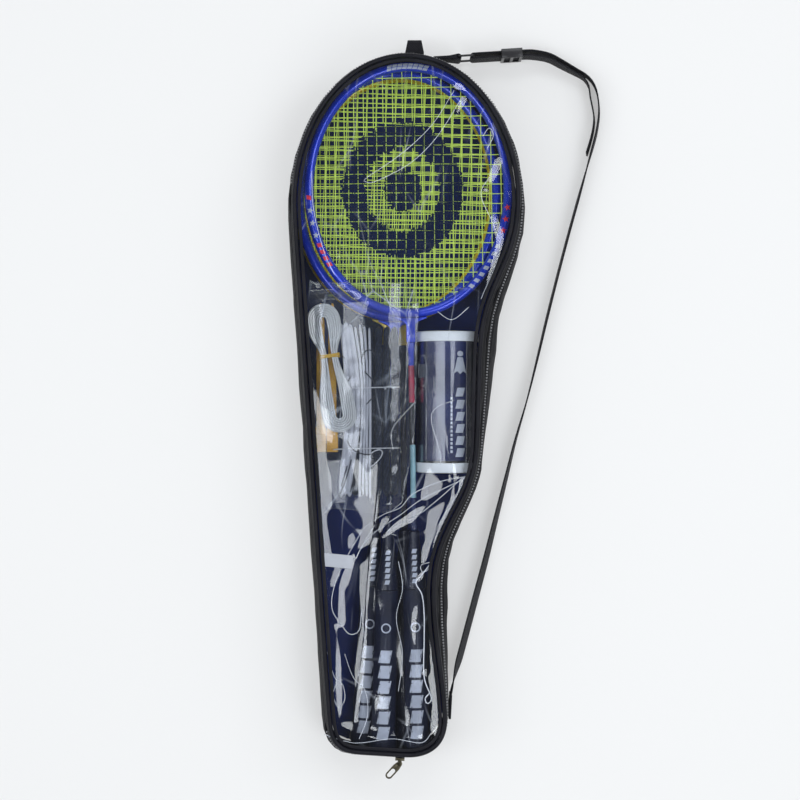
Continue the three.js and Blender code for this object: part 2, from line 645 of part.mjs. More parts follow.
// The ring, the doubled webbing and the slider lie on one straight line that starts at the ring.
function addStrap() {
  const line = new THREE.Group();
  const tabReach = RING_SPAN / 2 + TAB_LENGTH;
  const tabFoot = headTop(RING_X - tabReach) + GAP + STRAP_THICKNESS;
  const ringY = tabFoot + tabReach * Math.sin(STRAP_RISE * RAD);
  line.position.set(RING_X, ringY, RING_CENTRE_HEIGHT);
  line.rotation.z = STRAP_RISE * RAD;
  set.add(line);
  line.updateMatrixWorld(true);

  const ringTall = STRAP_WIDTH + 4;
  const halfSpan = RING_SPAN / 2;
  const halfTall = ringTall / 2;
  const bend = 2.4;
  const ringLine = [
    ...arcPoints(halfSpan - bend, halfTall - bend, bend, 0, 90, 3),
    ...arcPoints(bend - halfSpan, halfTall - bend, bend, 90, 180, 3),
    ...arcPoints(bend - halfSpan, bend - halfTall, bend, 180, 270, 3),
    ...arcPoints(halfSpan - bend, bend - halfTall, bend, 270, 360, 3),
  ];
  const ringNormals = loopNormals(ringLine);
  const ringRows = ringLine.map((p, i) =>
    Array.from({ length: 6 }, (_, k) => {
      const turn = (k / 6) * 2 * Math.PI;
      const reach = (RING_WIRE / 2) * Math.cos(turn);
      return new THREE.Vector3(
        p.x + ringNormals[i].x * reach,
        (RING_WIRE / 2) * Math.sin(turn),
        p.y + ringNormals[i].y * reach,
      );
    }),
  );
  add("strap_ring", skin(ringRows, true), STRAP_PLASTIC, line);

  const inner = RING_WIRE / 2 + GAP;
  const outer = inner + STRAP_THICKNESS;
  const loopEnd = STRAP_SLIDER_REACH;
  const hairpin = [
    new THREE.Vector2(loopEnd, outer),
    ...arcPoints(halfSpan, 0, outer, 90, 270, 8),
    new THREE.Vector2(loopEnd, -outer),
    new THREE.Vector2(loopEnd, -inner),
    ...arcPoints(halfSpan, 0, inner, 270, 90, 8),
    new THREE.Vector2(loopEnd, inner),
  ];
  add("strap_loop", plate(hairpin, -STRAP_WIDTH / 2, STRAP_WIDTH), WEBBING, line);

  // The tab is sewn to the wall and holds the ring's other side.
  const tabLoop = [
    ...arcPoints(-halfSpan, 0, outer, -90, 90, 8),
    new THREE.Vector2(-halfSpan - 9, STRAP_THICKNESS + 0.2),
    new THREE.Vector2(-halfSpan - TAB_LENGTH, STRAP_THICKNESS + 0.2),
    new THREE.Vector2(-halfSpan - TAB_LENGTH, -STRAP_THICKNESS),
    new THREE.Vector2(-halfSpan - 9, -STRAP_THICKNESS),
  ];
  const tabHole = circlePoints(-halfSpan, 0, inner, 12);
  add("strap_top_tab", plate(tabLoop, -STRAP_WIDTH / 2, STRAP_WIDTH, [tabHole]), WEBBING, line);

  const slot = STRAP_THICKNESS + 2 * GAP;
  const sliderThick = 2 * (LAYER_OFFSET + slot / 2 + STRAP_SLIDER_WALL);
  const sliderTall = STRAP_WIDTH + 2 * GAP + 2 * STRAP_SLIDER_WALL;
  const slotTall = STRAP_WIDTH + 2 * GAP;
  const body = block(STRAP_SLIDER_LENGTH, sliderThick, sliderTall, 0, 0, 0);
  const slots = [1, -1].map((side) =>
    block(STRAP_SLIDER_LENGTH + 2, slot, slotTall, 0, side * LAYER_OFFSET, 0),
  );
  const windowWide = (STRAP_SLIDER_LENGTH - 3 * STRAP_SLIDER_BAR) / 2;
  const windows = [1, -1].map((side) => {
    const x = (side * (windowWide + STRAP_SLIDER_BAR)) / 2;
    return block(windowWide, sliderThick + 2, slotTall - 2, x, 0, 0);
  });
  const slider = add("strap_slider", cut(body, [...slots, ...windows]), STRAP_PLASTIC, line);
  slider.position.x = STRAP_SLIDER_REACH;

  const fromLine = (x, y) => new THREE.Vector3(x, y, 0).applyMatrix4(line.matrixWorld);
  const start = STRAP_SLIDER_REACH + GAP;
  const straight = start + STRAP_SLIDER_LENGTH / 2 + 3;
  const lastDrop = STRAP_ROUTE[STRAP_ROUTE.length - 1][1];
  const stretch = (BAG_TOP - BAG_BOTTOM - STRAP_END_RISE) / lastDrop;
  const onFloor = ([x, drop, lift]) =>
    new THREE.Vector3(HEEL_X + HEEL_SWELL + x, BAG_TOP - drop * stretch, STRAP_CENTRE_HEIGHT + lift);
  const run = (side, route) => [
    fromLine(start, side * LAYER_OFFSET),
    fromLine(straight, side * LAYER_OFFSET),
    ...route.map(onFloor),
  ];
  add("shoulder_strap", webbing(run(1, STRAP_ROUTE), 72), WEBBING);
  add("strap_tail", webbing(run(-1, TAIL_ROUTE), 26), WEBBING);

  const tabTall = STRAP_WIDTH + 2;
  const tab = add("strap_bottom_tab", block(2.4, 24, tabTall, 0, 0, 0), WEBBING);
  const tabZ = 2 * PIPING_Z_BACK + TAB_MARGIN + tabTall / 2;
  tab.position.set(HEEL_X + HEEL_SWELL + 2.3, BAG_BOTTOM + TAB_END_RISE, tabZ);
  tab.rotation.z = -3 * RAD;
}

// ---------------------------------------------------------------- one racket

function ellipsePoints(halfWidth, halfHeight, count) {
  return Array.from({ length: count }, (_, i) => {
    const turn = (i / count) * 2 * Math.PI;
    return new THREE.Vector2(halfWidth * Math.cos(turn), halfHeight * Math.sin(turn));
  });
}

function rimShape() {
  const sides = 6;
  const line = ellipsePoints(RIM_HALF_WIDTH - RIM_RADIUS, RIM_HALF_HEIGHT - RIM_RADIUS, 40);
  const normals = loopNormals(line);
  const rows = line.map((p, i) =>
    Array.from({ length: sides }, (_, k) => {
      const turn = (k / sides) * 2 * Math.PI;
      const reach = RIM_RADIUS * Math.cos(turn);
      return new THREE.Vector3(
        p.x + normals[i].x * reach,
        p.y + normals[i].y * reach,
        RIM_RADIUS * Math.sin(turn),
      );
    }),
  );
  return skin(rows, true);
}

function throatShape() {
  const halfWidth = RIM_HALF_WIDTH + GAP;
  const halfHeight = RIM_HALF_HEIGHT + GAP;
  const under = (x) => -halfHeight * Math.sqrt(1 - (x / halfWidth) ** 2);
  const stem = THROAT_STEM_WIDTH / 2;
  const steps = 6;
  const saddle = Array.from({ length: steps + 1 }, (_, i) => {
    const x = THROAT_HALF_WIDTH - (2 * THROAT_HALF_WIDTH * i) / steps;
    return new THREE.Vector2(x, under(x));
  });
  const shoulderY = -halfHeight - THROAT_WEB;
  const outline = [
    ...saddle,
    new THREE.Vector2(-THROAT_HALF_WIDTH, under(THROAT_HALF_WIDTH) - THROAT_WEB / 2),
    new THREE.Vector2(-stem - 3, shoulderY),
    new THREE.Vector2(-stem, shoulderY - 3),
    new THREE.Vector2(-stem, -RIM_HALF_HEIGHT - THROAT_LENGTH),
    new THREE.Vector2(stem, -RIM_HALF_HEIGHT - THROAT_LENGTH),
    new THREE.Vector2(stem, shoulderY - 3),
    new THREE.Vector2(stem + 3, shoulderY),
    new THREE.Vector2(THROAT_HALF_WIDTH, under(THROAT_HALF_WIDTH) - THROAT_WEB / 2),
  ];
  const thickness = RIM_DIAMETER - 0.6;
  return plate(outline, -thickness / 2, thickness);
}

// The head's middle is the racket's own origin and the grip points along -Y.
function addRacket(number, place) {
  const racket = new THREE.Group();
  const gripReach = RACKET_LENGTH - RIM_HALF_HEIGHT - GRIP_LENGTH / 2;
  const yaw = Math.asin((place.gripX - place.x) / gripReach);
  const pitch = Math.asin((place.z - place.gripZ) / gripReach);
  racket.position.set(place.x, place.y, place.z);
  racket.rotation.set(pitch, 0, yaw, "ZYX");
  set.add(racket);
  const butt = RIM_HALF_HEIGHT - RACKET_LENGTH;
  const gripTop = butt + GRIP_LENGTH;
  const coneTop = gripTop + CONE_LENGTH;
  const throatEnd = -RIM_HALF_HEIGHT - THROAT_LENGTH;
  const name = (piece) => `racket_${number}_${piece}`;
  add(name("rim"), rimShape(), place.rim, racket);
  const inset = RIM_DIAMETER + GAP;
  const bed = ellipsePoints(RIM_HALF_WIDTH - inset, RIM_HALF_HEIGHT - inset, 40);
  const bedShape = plate(bed, -STRING_BED_THICKNESS / 2, STRING_BED_THICKNESS);
  add(name("strings"), bedShape, STRINGS, racket);
  add(name("throat"), throatShape(), place.rim, racket);
  const shaft = [
    [0, throatEnd - GAP],
    [SHAFT_RADIUS, throatEnd - GAP],
    [SHAFT_RADIUS, coneTop + GAP],
    [0, coneTop + GAP],
  ];
  add(name("shaft"), turned(shaft, 8), place.shaft, racket);
  const cone = [
    [0, coneTop],
    [CONE_TOP_RADIUS, coneTop],
    [GRIP_RADIUS - 1, gripTop + GAP],
    [0, gripTop + GAP],
  ];
  add(name("cone"), turned(cone, 12), CONE_PLASTIC, racket);
  const grip = [
    [0, gripTop],
    [GRIP_RADIUS, gripTop],
    [GRIP_RADIUS, butt + BUTT_LENGTH],
    [BUTT_RADIUS, butt + BUTT_LENGTH / 2],
    [BUTT_RADIUS, butt + 2],
    [GRIP_RADIUS - 1, butt],
    [0, butt],
  ];
  add(name("grip"), turned(grip, 8).rotateY(Math.PI / 8), GRIP_TAPE, racket);
}

// The pile: the front racket's grip lies on the lowest one, and the second's between the two under it.
function addRackets() {
  const headY = (drop) => BAG_TOP - HEAD_GAP - drop - RIM_HALF_HEIGHT;
  const plane = (n) => BOTTOM_RACKET_Z + n * RACKET_PITCH;
  const lowGrip = PANEL_THICKNESS + BUTT_RADIUS + GRIP_LIFT;
  const frontGrip = { gripX: FRONT_GRIP_X, gripZ: lowGrip + 2 * BUTT_RADIUS + 1.2 };
  const secondX = FRONT_GRIP_X - 2 * BUTT_RADIUS - 2.7;
  const secondGrip = { gripX: secondX, gripZ: lowGrip + 2 * GRIP_RADIUS - GRIP_NESTING };
  const thirdGrip = { gripX: secondX - 1.265 * BUTT_RADIUS, gripZ: lowGrip };
  const fourthGrip = { gripX: LOWEST_GRIP_X, gripZ: lowGrip };
  const blue = { rim: BLUE_PAINT, shaft: BLUE_PAINT };
  const gold = { rim: GOLD_PAINT, shaft: GOLD_SHAFT };
  const frontZ = plane(3) + FRONT_RACKET_RISE;
  addRacket(1, { ...blue, x: 8.4, y: headY(0), z: frontZ, ...frontGrip });
  addRacket(2, { ...blue, x: -2, y: headY(3.1), z: plane(2), ...secondGrip });
  addRacket(3, { ...gold, x: -4.5, y: headY(1.9), z: plane(1), ...thirdGrip });
  addRacket(4, { ...gold, x: 1, y: headY(1.6), z: plane(0), ...fourthGrip });
}

// ---------------------------------------------------------------- shuttle tube

function addTube() {
  const tube = new THREE.Group();
  tube.position.set(TUBE_X, TUBE_MIDDLE_Y, TUBE_Z);
  set.add(tube);
  const sides = 28;
  const half = TUBE_LENGTH / 2 - CAP_BASE - GAP;
  const inner = TUBE_RADIUS - TUBE_WALL;
  const wallProfile = [
    [inner, -half],
    [TUBE_RADIUS, -half],
    [TUBE_RADIUS, half],
    [inner, half],
    [inner, -half],
  ];
  add("tube_wall", turned(wallProfile, sides), TUBE_PLASTIC, tube);
  const cap = (side) => {
    const end = (side * TUBE_LENGTH) / 2;
    const lip = end - side * CAP_HEIGHT;
    const floor = end - side * CAP_BASE;
    return turned(
      [
        [0, end],
        [CAP_RADIUS, end],
        [CAP_RADIUS, lip],
        [CAP_RADIUS - CAP_WALL, lip],
        [CAP_RADIUS - CAP_WALL, floor],
        [0, floor],
      ],
      sides,
    );
  };
  add("tube_top_cap", cap(1), CAP_PLASTIC, tube);
  add("tube_bottom_cap", cap(-1), CAP_PLASTIC, tube);

  const skirtEnd = inner - 0.9;
  for (let n = 0; n < SHUTTLE_COUNT; n++) {
    const nose = -half + 1 + n * SHUTTLE_PITCH;
    const shoulder = nose + CORK_RADIUS * 0.8;
    const back = nose + CORK_LENGTH;
    const cork = [
      [0, nose],
      [CORK_RADIUS * 0.5, nose + CORK_RADIUS * 0.1],
      [CORK_RADIUS * 0.86, nose + CORK_RADIUS * 0.38],
      [CORK_RADIUS, shoulder],
      [CORK_RADIUS, back],
      [0, back],
    ];
    add(`shuttle_${n + 1}_cork`, turned(cork, 16), CORK, tube);
    const skirt = [
      [CORK_RADIUS - SKIRT_THICKNESS, back + GAP],
      [CORK_RADIUS, back + GAP],
      [skirtEnd, back + SKIRT_LENGTH],
      [skirtEnd - SKIRT_THICKNESS, back + SKIRT_LENGTH],
      [CORK_RADIUS - SKIRT_THICKNESS, back + GAP],
    ];
    add(`shuttle_${n + 1}_skirt`, turned(skirt, 20), SKIRT, tube);
  }
}

// ---------------------------------------------------------------- net, rope and pegs

// The folded net is low under the white tapes and full height beside them.
function addNet() {
  const left = NET_RIGHT - NET_WIDTH;
  const step = left + NET_WIDTH / 2;
  const high = NET_THICKNESS + TAPE_THICKNESS;
  const section = [
    new THREE.Vector2(left, 0),
    new THREE.Vector2(NET_RIGHT, 0),
    new THREE.Vector2(NET_RIGHT, high),
    new THREE.Vector2(step + GAP, high),
    new THREE.Vector2(step + GAP, NET_THICKNESS),
    new THREE.Vector2(left, NET_THICKNESS),
  ];
  const bundle = plate(section, 0, NET_LENGTH).rotateX(Math.PI / 2).translate(0, NET_TOP, NET_Z);
  add("net_bundle", bundle, NET_MESH);
  const bottom = NET_TOP - NET_LENGTH;
  const middle = (NET_TOP + bottom) / 2;
  const tapeLeft = [
    new THREE.Vector2(left - 4, NET_TOP + 2),
    new THREE.Vector2(left + 2, middle),
    new THREE.Vector2(left - 3, bottom + 3),
    new THREE.Vector2(left + 9, bottom + 3),
    new THREE.Vector2(left + 18, middle),
    new THREE.Vector2(left + 8, NET_TOP + 2),
  ];
  add("net_tape_left", plate(tapeLeft, TAPE_Z, TAPE_THICKNESS), NET_TAPE);
  const tapeRight = [
    new THREE.Vector2(left + 9, NET_TOP),
    new THREE.Vector2(left + 19, middle),
    new THREE.Vector2(left + 16, bottom + 3),
    new THREE.Vector2(step, bottom + 3),
    new THREE.Vector2(step, NET_TOP - 6),
    new THREE.Vector2(left + 19, NET_TOP),
  ];
  add("net_tape_right", plate(tapeRight, TAPE_Z, TAPE_THICKNESS), NET_TAPE);
}

const HANK_X = -68.5;
const HANK_Y = NET_TOP - 37;
const HANK_LEAN = 6; // degrees

function addRope() {
  const hank = new THREE.Group();
  hank.position.set(HANK_X, HANK_Y, HANK_Z);
  hank.rotation.z = HANK_LEAN * RAD;
  set.add(hank);
  const upperY = 43;
  const lowerY = -56;
  const waist = HANK_WAIST_HALF;
  const path = new THREE.Path();
  path.absarc(0, upperY, HANK_UPPER_RADIUS, 0, Math.PI, false);
  path.bezierCurveTo(-HANK_UPPER_RADIUS, 20, -waist, 14, -waist, 2);
  path.bezierCurveTo(-waist, -12, -HANK_LOWER_RADIUS, -30, -HANK_LOWER_RADIUS, lowerY);
  path.absarc(0, lowerY, HANK_LOWER_RADIUS, Math.PI, 2 * Math.PI, false);
  path.bezierCurveTo(HANK_LOWER_RADIUS, -30, waist, -12, waist, 2);
  path.bezierCurveTo(waist, 14, HANK_UPPER_RADIUS, 20, HANK_UPPER_RADIUS, upperY);
  const outline = path.getPoints(6).slice(0, -1);
  add("rope_hank", plate(outline, 0, HANK_THICKNESS), ROPE, hank);

  const clear = HANK_BAND_THICKNESS + GAP;
  const hole = block(2 * (waist + GAP) + 2.4, 20, HANK_THICKNESS + 2 * GAP, 0, 0, HANK_THICKNESS / 2);
  const sleeve = block(
    2 * (waist + clear) + 2.4,
    HANK_BAND_WIDTH,
    HANK_THICKNESS + 2 * clear,
    0,
    0,
    HANK_THICKNESS / 2,
  );
  const band = add("hank_band", cut(sleeve, [hole]), RUBBER_BAND, hank);
  band.position.y = 4;
}

function addPegs() {
  const head = PEG_WIDTH / 2;
  const shank = PEG_WIDTH * 0.36;
  const point = 0.8;
  const stations = [
    [0, head],
    [PEG_HEAD_LENGTH - 4, head],
    [PEG_HEAD_LENGTH, shank],
    [PEG_LENGTH - 18, shank],
    [PEG_LENGTH, point],
  ];
  const corners = [
    [1, 1],
    [-1, 1],
    [-1, -1],
    [1, -1],
  ];
  const rows = stations.map(([y, half]) =>
    corners.map(([x, z]) => new THREE.Vector3(x * half, y, z * half * 0.8)),
  );
  [-78, -66.4].forEach((x, n) => {
    const peg = add(`peg_${n + 1}`, skin(rows, false), PEG_PLASTIC);
    const z = HANK_Z - HANK_BAND_THICKNESS - PEG_WIDTH / 2 - 1;
    peg.position.set(x, NET_TOP - 127, z);
  });
}

function addPouch() {
  const left = HANK_X - 22;
  const right = NET_RIGHT + 15;
  const top = NET_TOP + 30;
  const bottom = NET_TOP - NET_LENGTH - 11;
  const outline = [
    new THREE.Vector2(left, top - 14),
    new THREE.Vector2(left + 12, bottom + 4),
    new THREE.Vector2(right - 10, bottom),
    new THREE.Vector2(right, top),
  ];
  add("net_pouch", plate(outline, POUCH_Z, POUCH_THICKNESS), POUCH_FILM);
}

// ---------------------------------------------------------------- assembly

addBag();
addHangingLoop();
addSeamLabel();
addZipSlider();
addStrap();
addRackets();
addTube();
addNet();
addRope();
addPegs();
addPouch();

// The origin goes under the middle of everything but the loose strap.
const STRAP_NODES = ["shoulder_strap", "strap_tail", "strap_loop", "strap_slider", "strap_ring"];
set.updateMatrixWorld(true);
const extent = new THREE.Box3();
set.traverse((piece) => {
  if (piece.isMesh && !STRAP_NODES.includes(piece.name)) {
    extent.union(new THREE.Box3().setFromObject(piece, true));
  }
});
const middle = extent.getCenter(new THREE.Vector3());
set.position.set(-middle.x, -middle.y, -extent.min.z);

export default set;
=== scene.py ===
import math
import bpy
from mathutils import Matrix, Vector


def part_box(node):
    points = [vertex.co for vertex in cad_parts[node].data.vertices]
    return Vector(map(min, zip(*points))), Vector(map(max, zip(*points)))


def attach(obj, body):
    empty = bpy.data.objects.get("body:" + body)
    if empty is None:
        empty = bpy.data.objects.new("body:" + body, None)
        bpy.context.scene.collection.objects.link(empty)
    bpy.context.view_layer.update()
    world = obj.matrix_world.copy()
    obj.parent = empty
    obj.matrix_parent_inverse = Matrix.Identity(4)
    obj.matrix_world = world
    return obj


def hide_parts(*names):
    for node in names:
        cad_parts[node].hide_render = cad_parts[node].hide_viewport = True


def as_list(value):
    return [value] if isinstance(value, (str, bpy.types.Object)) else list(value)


bl_info = {
    "name": "Badminton set in a carry bag",
    "version": (1, 0, 0),
    "blender": (4, 5, 0),
    "location": "View3D > Sidebar > Badminton",
    "description": "Dresses the rackets, net pack, shuttle tube and carry bag over their CAD frame",
    "category": "Object",
}

import bmesh
import bpy
from bpy.props import FloatProperty, FloatVectorProperty, PointerProperty
from mathutils import Matrix, Vector, noise

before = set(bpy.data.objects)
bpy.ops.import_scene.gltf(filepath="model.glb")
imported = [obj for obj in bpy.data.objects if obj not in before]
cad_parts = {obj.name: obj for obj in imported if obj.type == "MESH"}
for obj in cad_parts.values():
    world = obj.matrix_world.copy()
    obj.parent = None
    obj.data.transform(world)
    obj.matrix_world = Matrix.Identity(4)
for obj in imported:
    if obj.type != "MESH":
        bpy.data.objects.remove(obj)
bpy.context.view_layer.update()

MM = 0.001
GAP = 0.0003


# ---------------------------------------------------------------- settings


def length(name, description, default):
    return FloatProperty(name=name, description=description, default=default, unit="LENGTH", precision=4)


def colour(name, description, default):
    return FloatVectorProperty(
        name=name, description=description, default=default, subtype="COLOR", size=3, min=0.0, max=1.0
    )


class BagSettings(bpy.types.PropertyGroup):
    wrinkle_height: length("Wrinkle height", "How high the broad folds of the clear front stand", 0.0013)
    fabric: colour("Fabric", "Side walls", (0.006, 0.006, 0.009))
    lining: colour("Lining", "Inside of the back panel", (0.010, 0.026, 0.170))
    binding: colour("Binding", "Piping and edge tape", (0.003, 0.003, 0.006))
    metal: colour("Metal", "Zip slider and puller", (0.09, 0.08, 0.055))


class StrapSettings(bpy.types.PropertyGroup):
    width: length("Strap width", "Width of the webbing", 0.020)
    thickness: length("Strap thickness", "Thickness of the webbing", 0.0015)
    webbing: colour("Webbing", "Strap, tabs and hanging loop", (0.004, 0.004, 0.006))


class RacketSettings(bpy.types.PropertyGroup):
    half_width: length("Half width", "Middle of the head to the outside of the rim, across", 0.1028)
    half_height: length("Half height", "The same along the racket", 0.1259)
    rim_diameter: length("Rim diameter", "Thickness of the rim", 0.0096)
    overall: length("Length", "Length of the whole racket", 0.6755)
    string_pitch: length("String pitch", "From one string to the next", 0.0096)
    string_radius: length("String radius", "Half the thickness of a string", 0.00040)
    front_paint: colour("Front paint", "The two front rackets", (0.008, 0.045, 0.68))
    back_paint: colour("Back paint", "The two back rackets", (0.85, 0.58, 0.03))
    strings: colour("Strings", "String colour", (0.72, 0.95, 0.17))
    stencil: colour("Stencil", "Paint on the front strings", (0.006, 0.014, 0.05))


class NetSettings(bpy.types.PropertyGroup):
    rope_diameter: length("Rope diameter", "Thickness of the guy rope", 0.0019)
    rope: colour("Rope", "Guy rope", (0.92, 0.94, 0.94))
    tape: colour("Tape", "White tape of the net", (0.76, 0.78, 0.86))
    pegs: colour("Pegs", "Moulded pegs", (0.88, 0.44, 0.03))


class TubeSettings(bpy.types.PropertyGroup):
    radius: length("Tube radius", "Outside of the clear wall", 0.0305)
    wall: length("Tube wall", "Thickness of the clear wall", 0.0008)
    print_colour: colour("Print", "Printed sleeve inside the tube", (0.010, 0.016, 0.075))


class StudioSettings(bpy.types.PropertyGroup):
    camera_height: length("Camera height", "Above the floor", 1.5)
    lens: FloatProperty(name="Lens", description="Focal length in millimetres", default=66.34)
    ring_strength: FloatProperty(
        name="Ring light", description="Brightness of the light round the set", default=0.8
    )
    floor: colour("Floor", "Plain pale floor", (0.40, 0.40, 0.398))
    floor_glow: FloatProperty(name="Floor glow", description="Light table under the set", default=0.41)


# ---------------------------------------------------------------- making and finishing a piece


def only(*objects):
    """Leaves just these objects selected, with the last one active."""
    bpy.ops.object.select_all(action="DESELECT")
    for obj in objects:
        obj.select_set(True)
    bpy.context.view_layer.objects.active = objects[-1]


def new_object(name, mesh):
    obj = bpy.data.objects.new(name, mesh)
    bpy.context.scene.collection.objects.link(obj)
    return obj


def from_work(name, work):
    """Turns finished working geometry into an object."""
    mesh = bpy.data.meshes.new(name)
    work.to_mesh(mesh)
    work.free()
    return new_object(name, mesh)


def middle_of(node):
    low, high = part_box(node)
    return (low + high) / 2


def signed_area(loop):
    """The area inside a loop, seen from above: positive when it runs anticlockwise."""
    return sum(a.x * b.y - b.x * a.y for a, b in zip(loop, loop[1:] + loop[:1])) / 2


def face_out(obj, merge=0.00001):
    """Merges doubles and turns every face outwards."""
    only(obj)
    bpy.ops.object.mode_set(mode="EDIT")
    bpy.ops.mesh.select_all(action="SELECT")
    bpy.ops.mesh.remove_doubles(threshold=merge)
    bpy.ops.mesh.normals_make_consistent(inside=False)
    bpy.ops.object.mode_set(mode="OBJECT")


def modifier(obj, kind, **values):
    """Adds a modifier, sets it and applies it."""
    made = obj.modifiers.new(kind.title(), kind)
    for key, value in values.items():
        setattr(made, key, value)
    only(obj)
    bpy.ops.object.modifier_apply(modifier=made.name)


def smooth(obj, angle=40):
    only(obj)
    bpy.ops.object.shade_smooth_by_angle(angle=math.radians(angle))


def place(obj, matrix):
    obj.data.transform(matrix)
    obj.data.update()


def joined(name, objects):
    only(*objects)
    bpy.ops.object.join()
    whole = bpy.context.active_object
    whole.name = name
    return whole


def finish(obj, name, body, slot, finish_material, nodes=(), angle=40):
    """Names a piece, gives it its finish, and lets it ride on its body in place of its CAD nodes."""
    obj.name = name
    obj.data.name = name
    obj.data.materials.clear()
    obj.data.materials.append(finish_material)
    smooth(obj, angle)
    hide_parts(*nodes)
    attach(obj, body)
    return obj


def copy_of(node):
    """A merged copy of a CAD node, with quads in place of its loose triangles."""
    obj = new_object(node + "_copy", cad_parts[node].data.copy())
    obj.data.materials.clear()
    only(obj)
    bpy.ops.object.mode_set(mode="EDIT")
    bpy.ops.mesh.select_all(action="SELECT")
    bpy.ops.mesh.remove_doubles(threshold=0.00002)
    bpy.ops.mesh.tris_convert_to_quads(face_threshold=math.radians(60), shape_threshold=math.radians(60))
    bpy.ops.object.mode_set(mode="OBJECT")
    return obj


def bevelled_copy(node, width, segments=2):
    """A copy of a hard CAD node with its flat faces whole again and its edges rounded."""
    obj = copy_of(node)
    bpy.ops.object.mode_set(mode="EDIT")
    bpy.ops.mesh.select_all(action="SELECT")
    bpy.ops.mesh.dissolve_limited(angle_limit=math.radians(1))
    bpy.ops.object.mode_set(mode="OBJECT")
    sharp = math.radians(50)
    modifier(obj, "BEVEL", width=width, segments=segments, limit_method="ANGLE", angle_limit=sharp)
    return obj


def turned(rings, sides=32, filled=True):
    """A circle extruded from ring to ring up the Z axis. Each ring is a radius and a height."""
    radius, height = rings[0]
    bpy.ops.object.select_all(action="DESELECT")
    bpy.ops.mesh.primitive_circle_add(
        vertices=sides, radius=radius, location=(0, 0, height), fill_type="NGON" if filled else "NOTHING"
    )
    obj = bpy.context.active_object
    bpy.ops.object.transform_apply(location=True)
    bpy.ops.object.mode_set(mode="EDIT")
    bpy.ops.mesh.select_all(action="SELECT")
    for next_radius, next_height in rings[1:]:
        rise = (0, 0, next_height - height)
        bpy.ops.mesh.extrude_region_move(TRANSFORM_OT_translate={"value": rise})
        share = next_radius / radius
        bpy.ops.transform.resize(value=(share, share, 1), center_override=(0, 0, next_height))
        radius, height = next_radius, next_height
    bpy.ops.mesh.select_all(action="SELECT")
    bpy.ops.mesh.normals_make_consistent(inside=False)
    bpy.ops.object.mode_set(mode="OBJECT")
    return obj


def tube_along(points, radius, cyclic=False, resolution=2, kind="NURBS", name="tube"):
    """A round cord through the points, as a curve of one spline."""
    data = bpy.data.curves.new(name, "CURVE")
    data.dimensions = "3D"
    spline = data.splines.new(kind)
    spline.points.add(len(points) - 1)
    for spot, point in zip(spline.points, points):
        spot.co = (*point, 1)
    spline.use_cyclic_u = cyclic
    if kind == "NURBS":
        spline.order_u = 4
        spline.use_endpoint_u = not cyclic
        spline.resolution_u = 3
    data.bevel_depth = radius
    data.bevel_resolution = resolution
    data.use_fill_caps = not cyclic
    return new_object(name, data)


def as_mesh(obj):
    only(obj)
    bpy.ops.object.convert(target="MESH")
    return bpy.context.active_object


def ribbon(points, section, up=Vector((0, 0, 1)), roll=None):
    """A closed band: the section, as (across, up) pairs, carried along the points and rolled on the way."""
    work = bmesh.new()
    rows = []
    last = len(points) - 1
    for i, point in enumerate(points):
        along = (points[min(i + 1, last)] - points[max(i - 1, 0)]).normalized()
        turn = Matrix.Rotation(roll(i / last) if roll else 0.0, 3, along)
        across = turn @ along.cross(up).normalized()
        upward = turn @ up
        rows.append([work.verts.new(point + across * u + upward * v) for u, v in section])
    count = len(section)
    for here, ahead in zip(rows, rows[1:]):
        for j in range(count):
            k = (j + 1) % count
            work.faces.new((here[j], here[k], ahead[k], ahead[j]))
    work.faces.new(rows[0][::-1])
    work.faces.new(rows[-1])
    bmesh.ops.recalc_face_normals(work, faces=work.faces)
    return from_work("ribbon", work)


def closed_ends(obj):
    """Fills the open end of every thin tube in a mesh."""
    only(obj)
    bpy.ops.object.mode_set(mode="EDIT")
    bpy.ops.mesh.select_all(action="DESELECT")
    bpy.ops.mesh.select_mode(type="EDGE")
    bpy.ops.mesh.select_non_manifold()
    bpy.ops.mesh.edge_face_add()
    bpy.ops.object.mode_set(mode="OBJECT")
    return obj


def rounded_section(width, height, corner, steps=3):
    """The outline of a bar with round corners, anticlockwise."""
    outline = []
    for quarter, (sx, sy) in enumerate(((1, 1), (-1, 1), (-1, -1), (1, -1))):
        middle = (sx * (width / 2 - corner), sy * (height / 2 - corner))
        for i in range(steps + 1):
            turn = math.radians(90 * quarter + 90 * i / steps)
            outline.append((middle[0] + corner * math.cos(turn), middle[1] + corner * math.sin(turn)))
    return outline


def grid_mesh(name, columns, rows, spot):
    """An open sheet: spot gives the place of each (column share, row share)."""
    work = bmesh.new()
    lines = [
        [work.verts.new(spot(i / columns, j / rows)) for i in range(columns + 1)] for j in range(rows + 1)
    ]
    for low, high in zip(lines, lines[1:]):
        for i in range(columns):
            work.faces.new((low[i], low[i + 1], high[i + 1], high[i]))
    bmesh.ops.recalc_face_normals(work, faces=work.faces)
    return from_work(name, work)


def top_loop(node):
    """The points round the upward faces of a CAD node, in order."""
    work = bmesh.new()
    work.from_mesh(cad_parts[node].data)
    bmesh.ops.remove_doubles(work, verts=work.verts, dist=0.00002)
    high = max(v.co.z for v in work.verts)
    work.normal_update()
    tops = {f for f in work.faces if f.normal.z > 0.9 and f.calc_center_median().z > high - 0.0005}
    ahead = {}
    for face in tops:
        for corner in face.loops:
            others = [f for f in corner.edge.link_faces if f in tops]
            if len(others) == 1:
                ahead[corner.vert.index] = corner.link_loop_next.vert.index
    work.verts.ensure_lookup_table()
    first = next(iter(ahead))
    order, here = [first], ahead[first]
    while here != first:
        order.append(here)
        here = ahead[here]
    points = [work.verts[i].co.copy() for i in order]
    work.free()
    return points


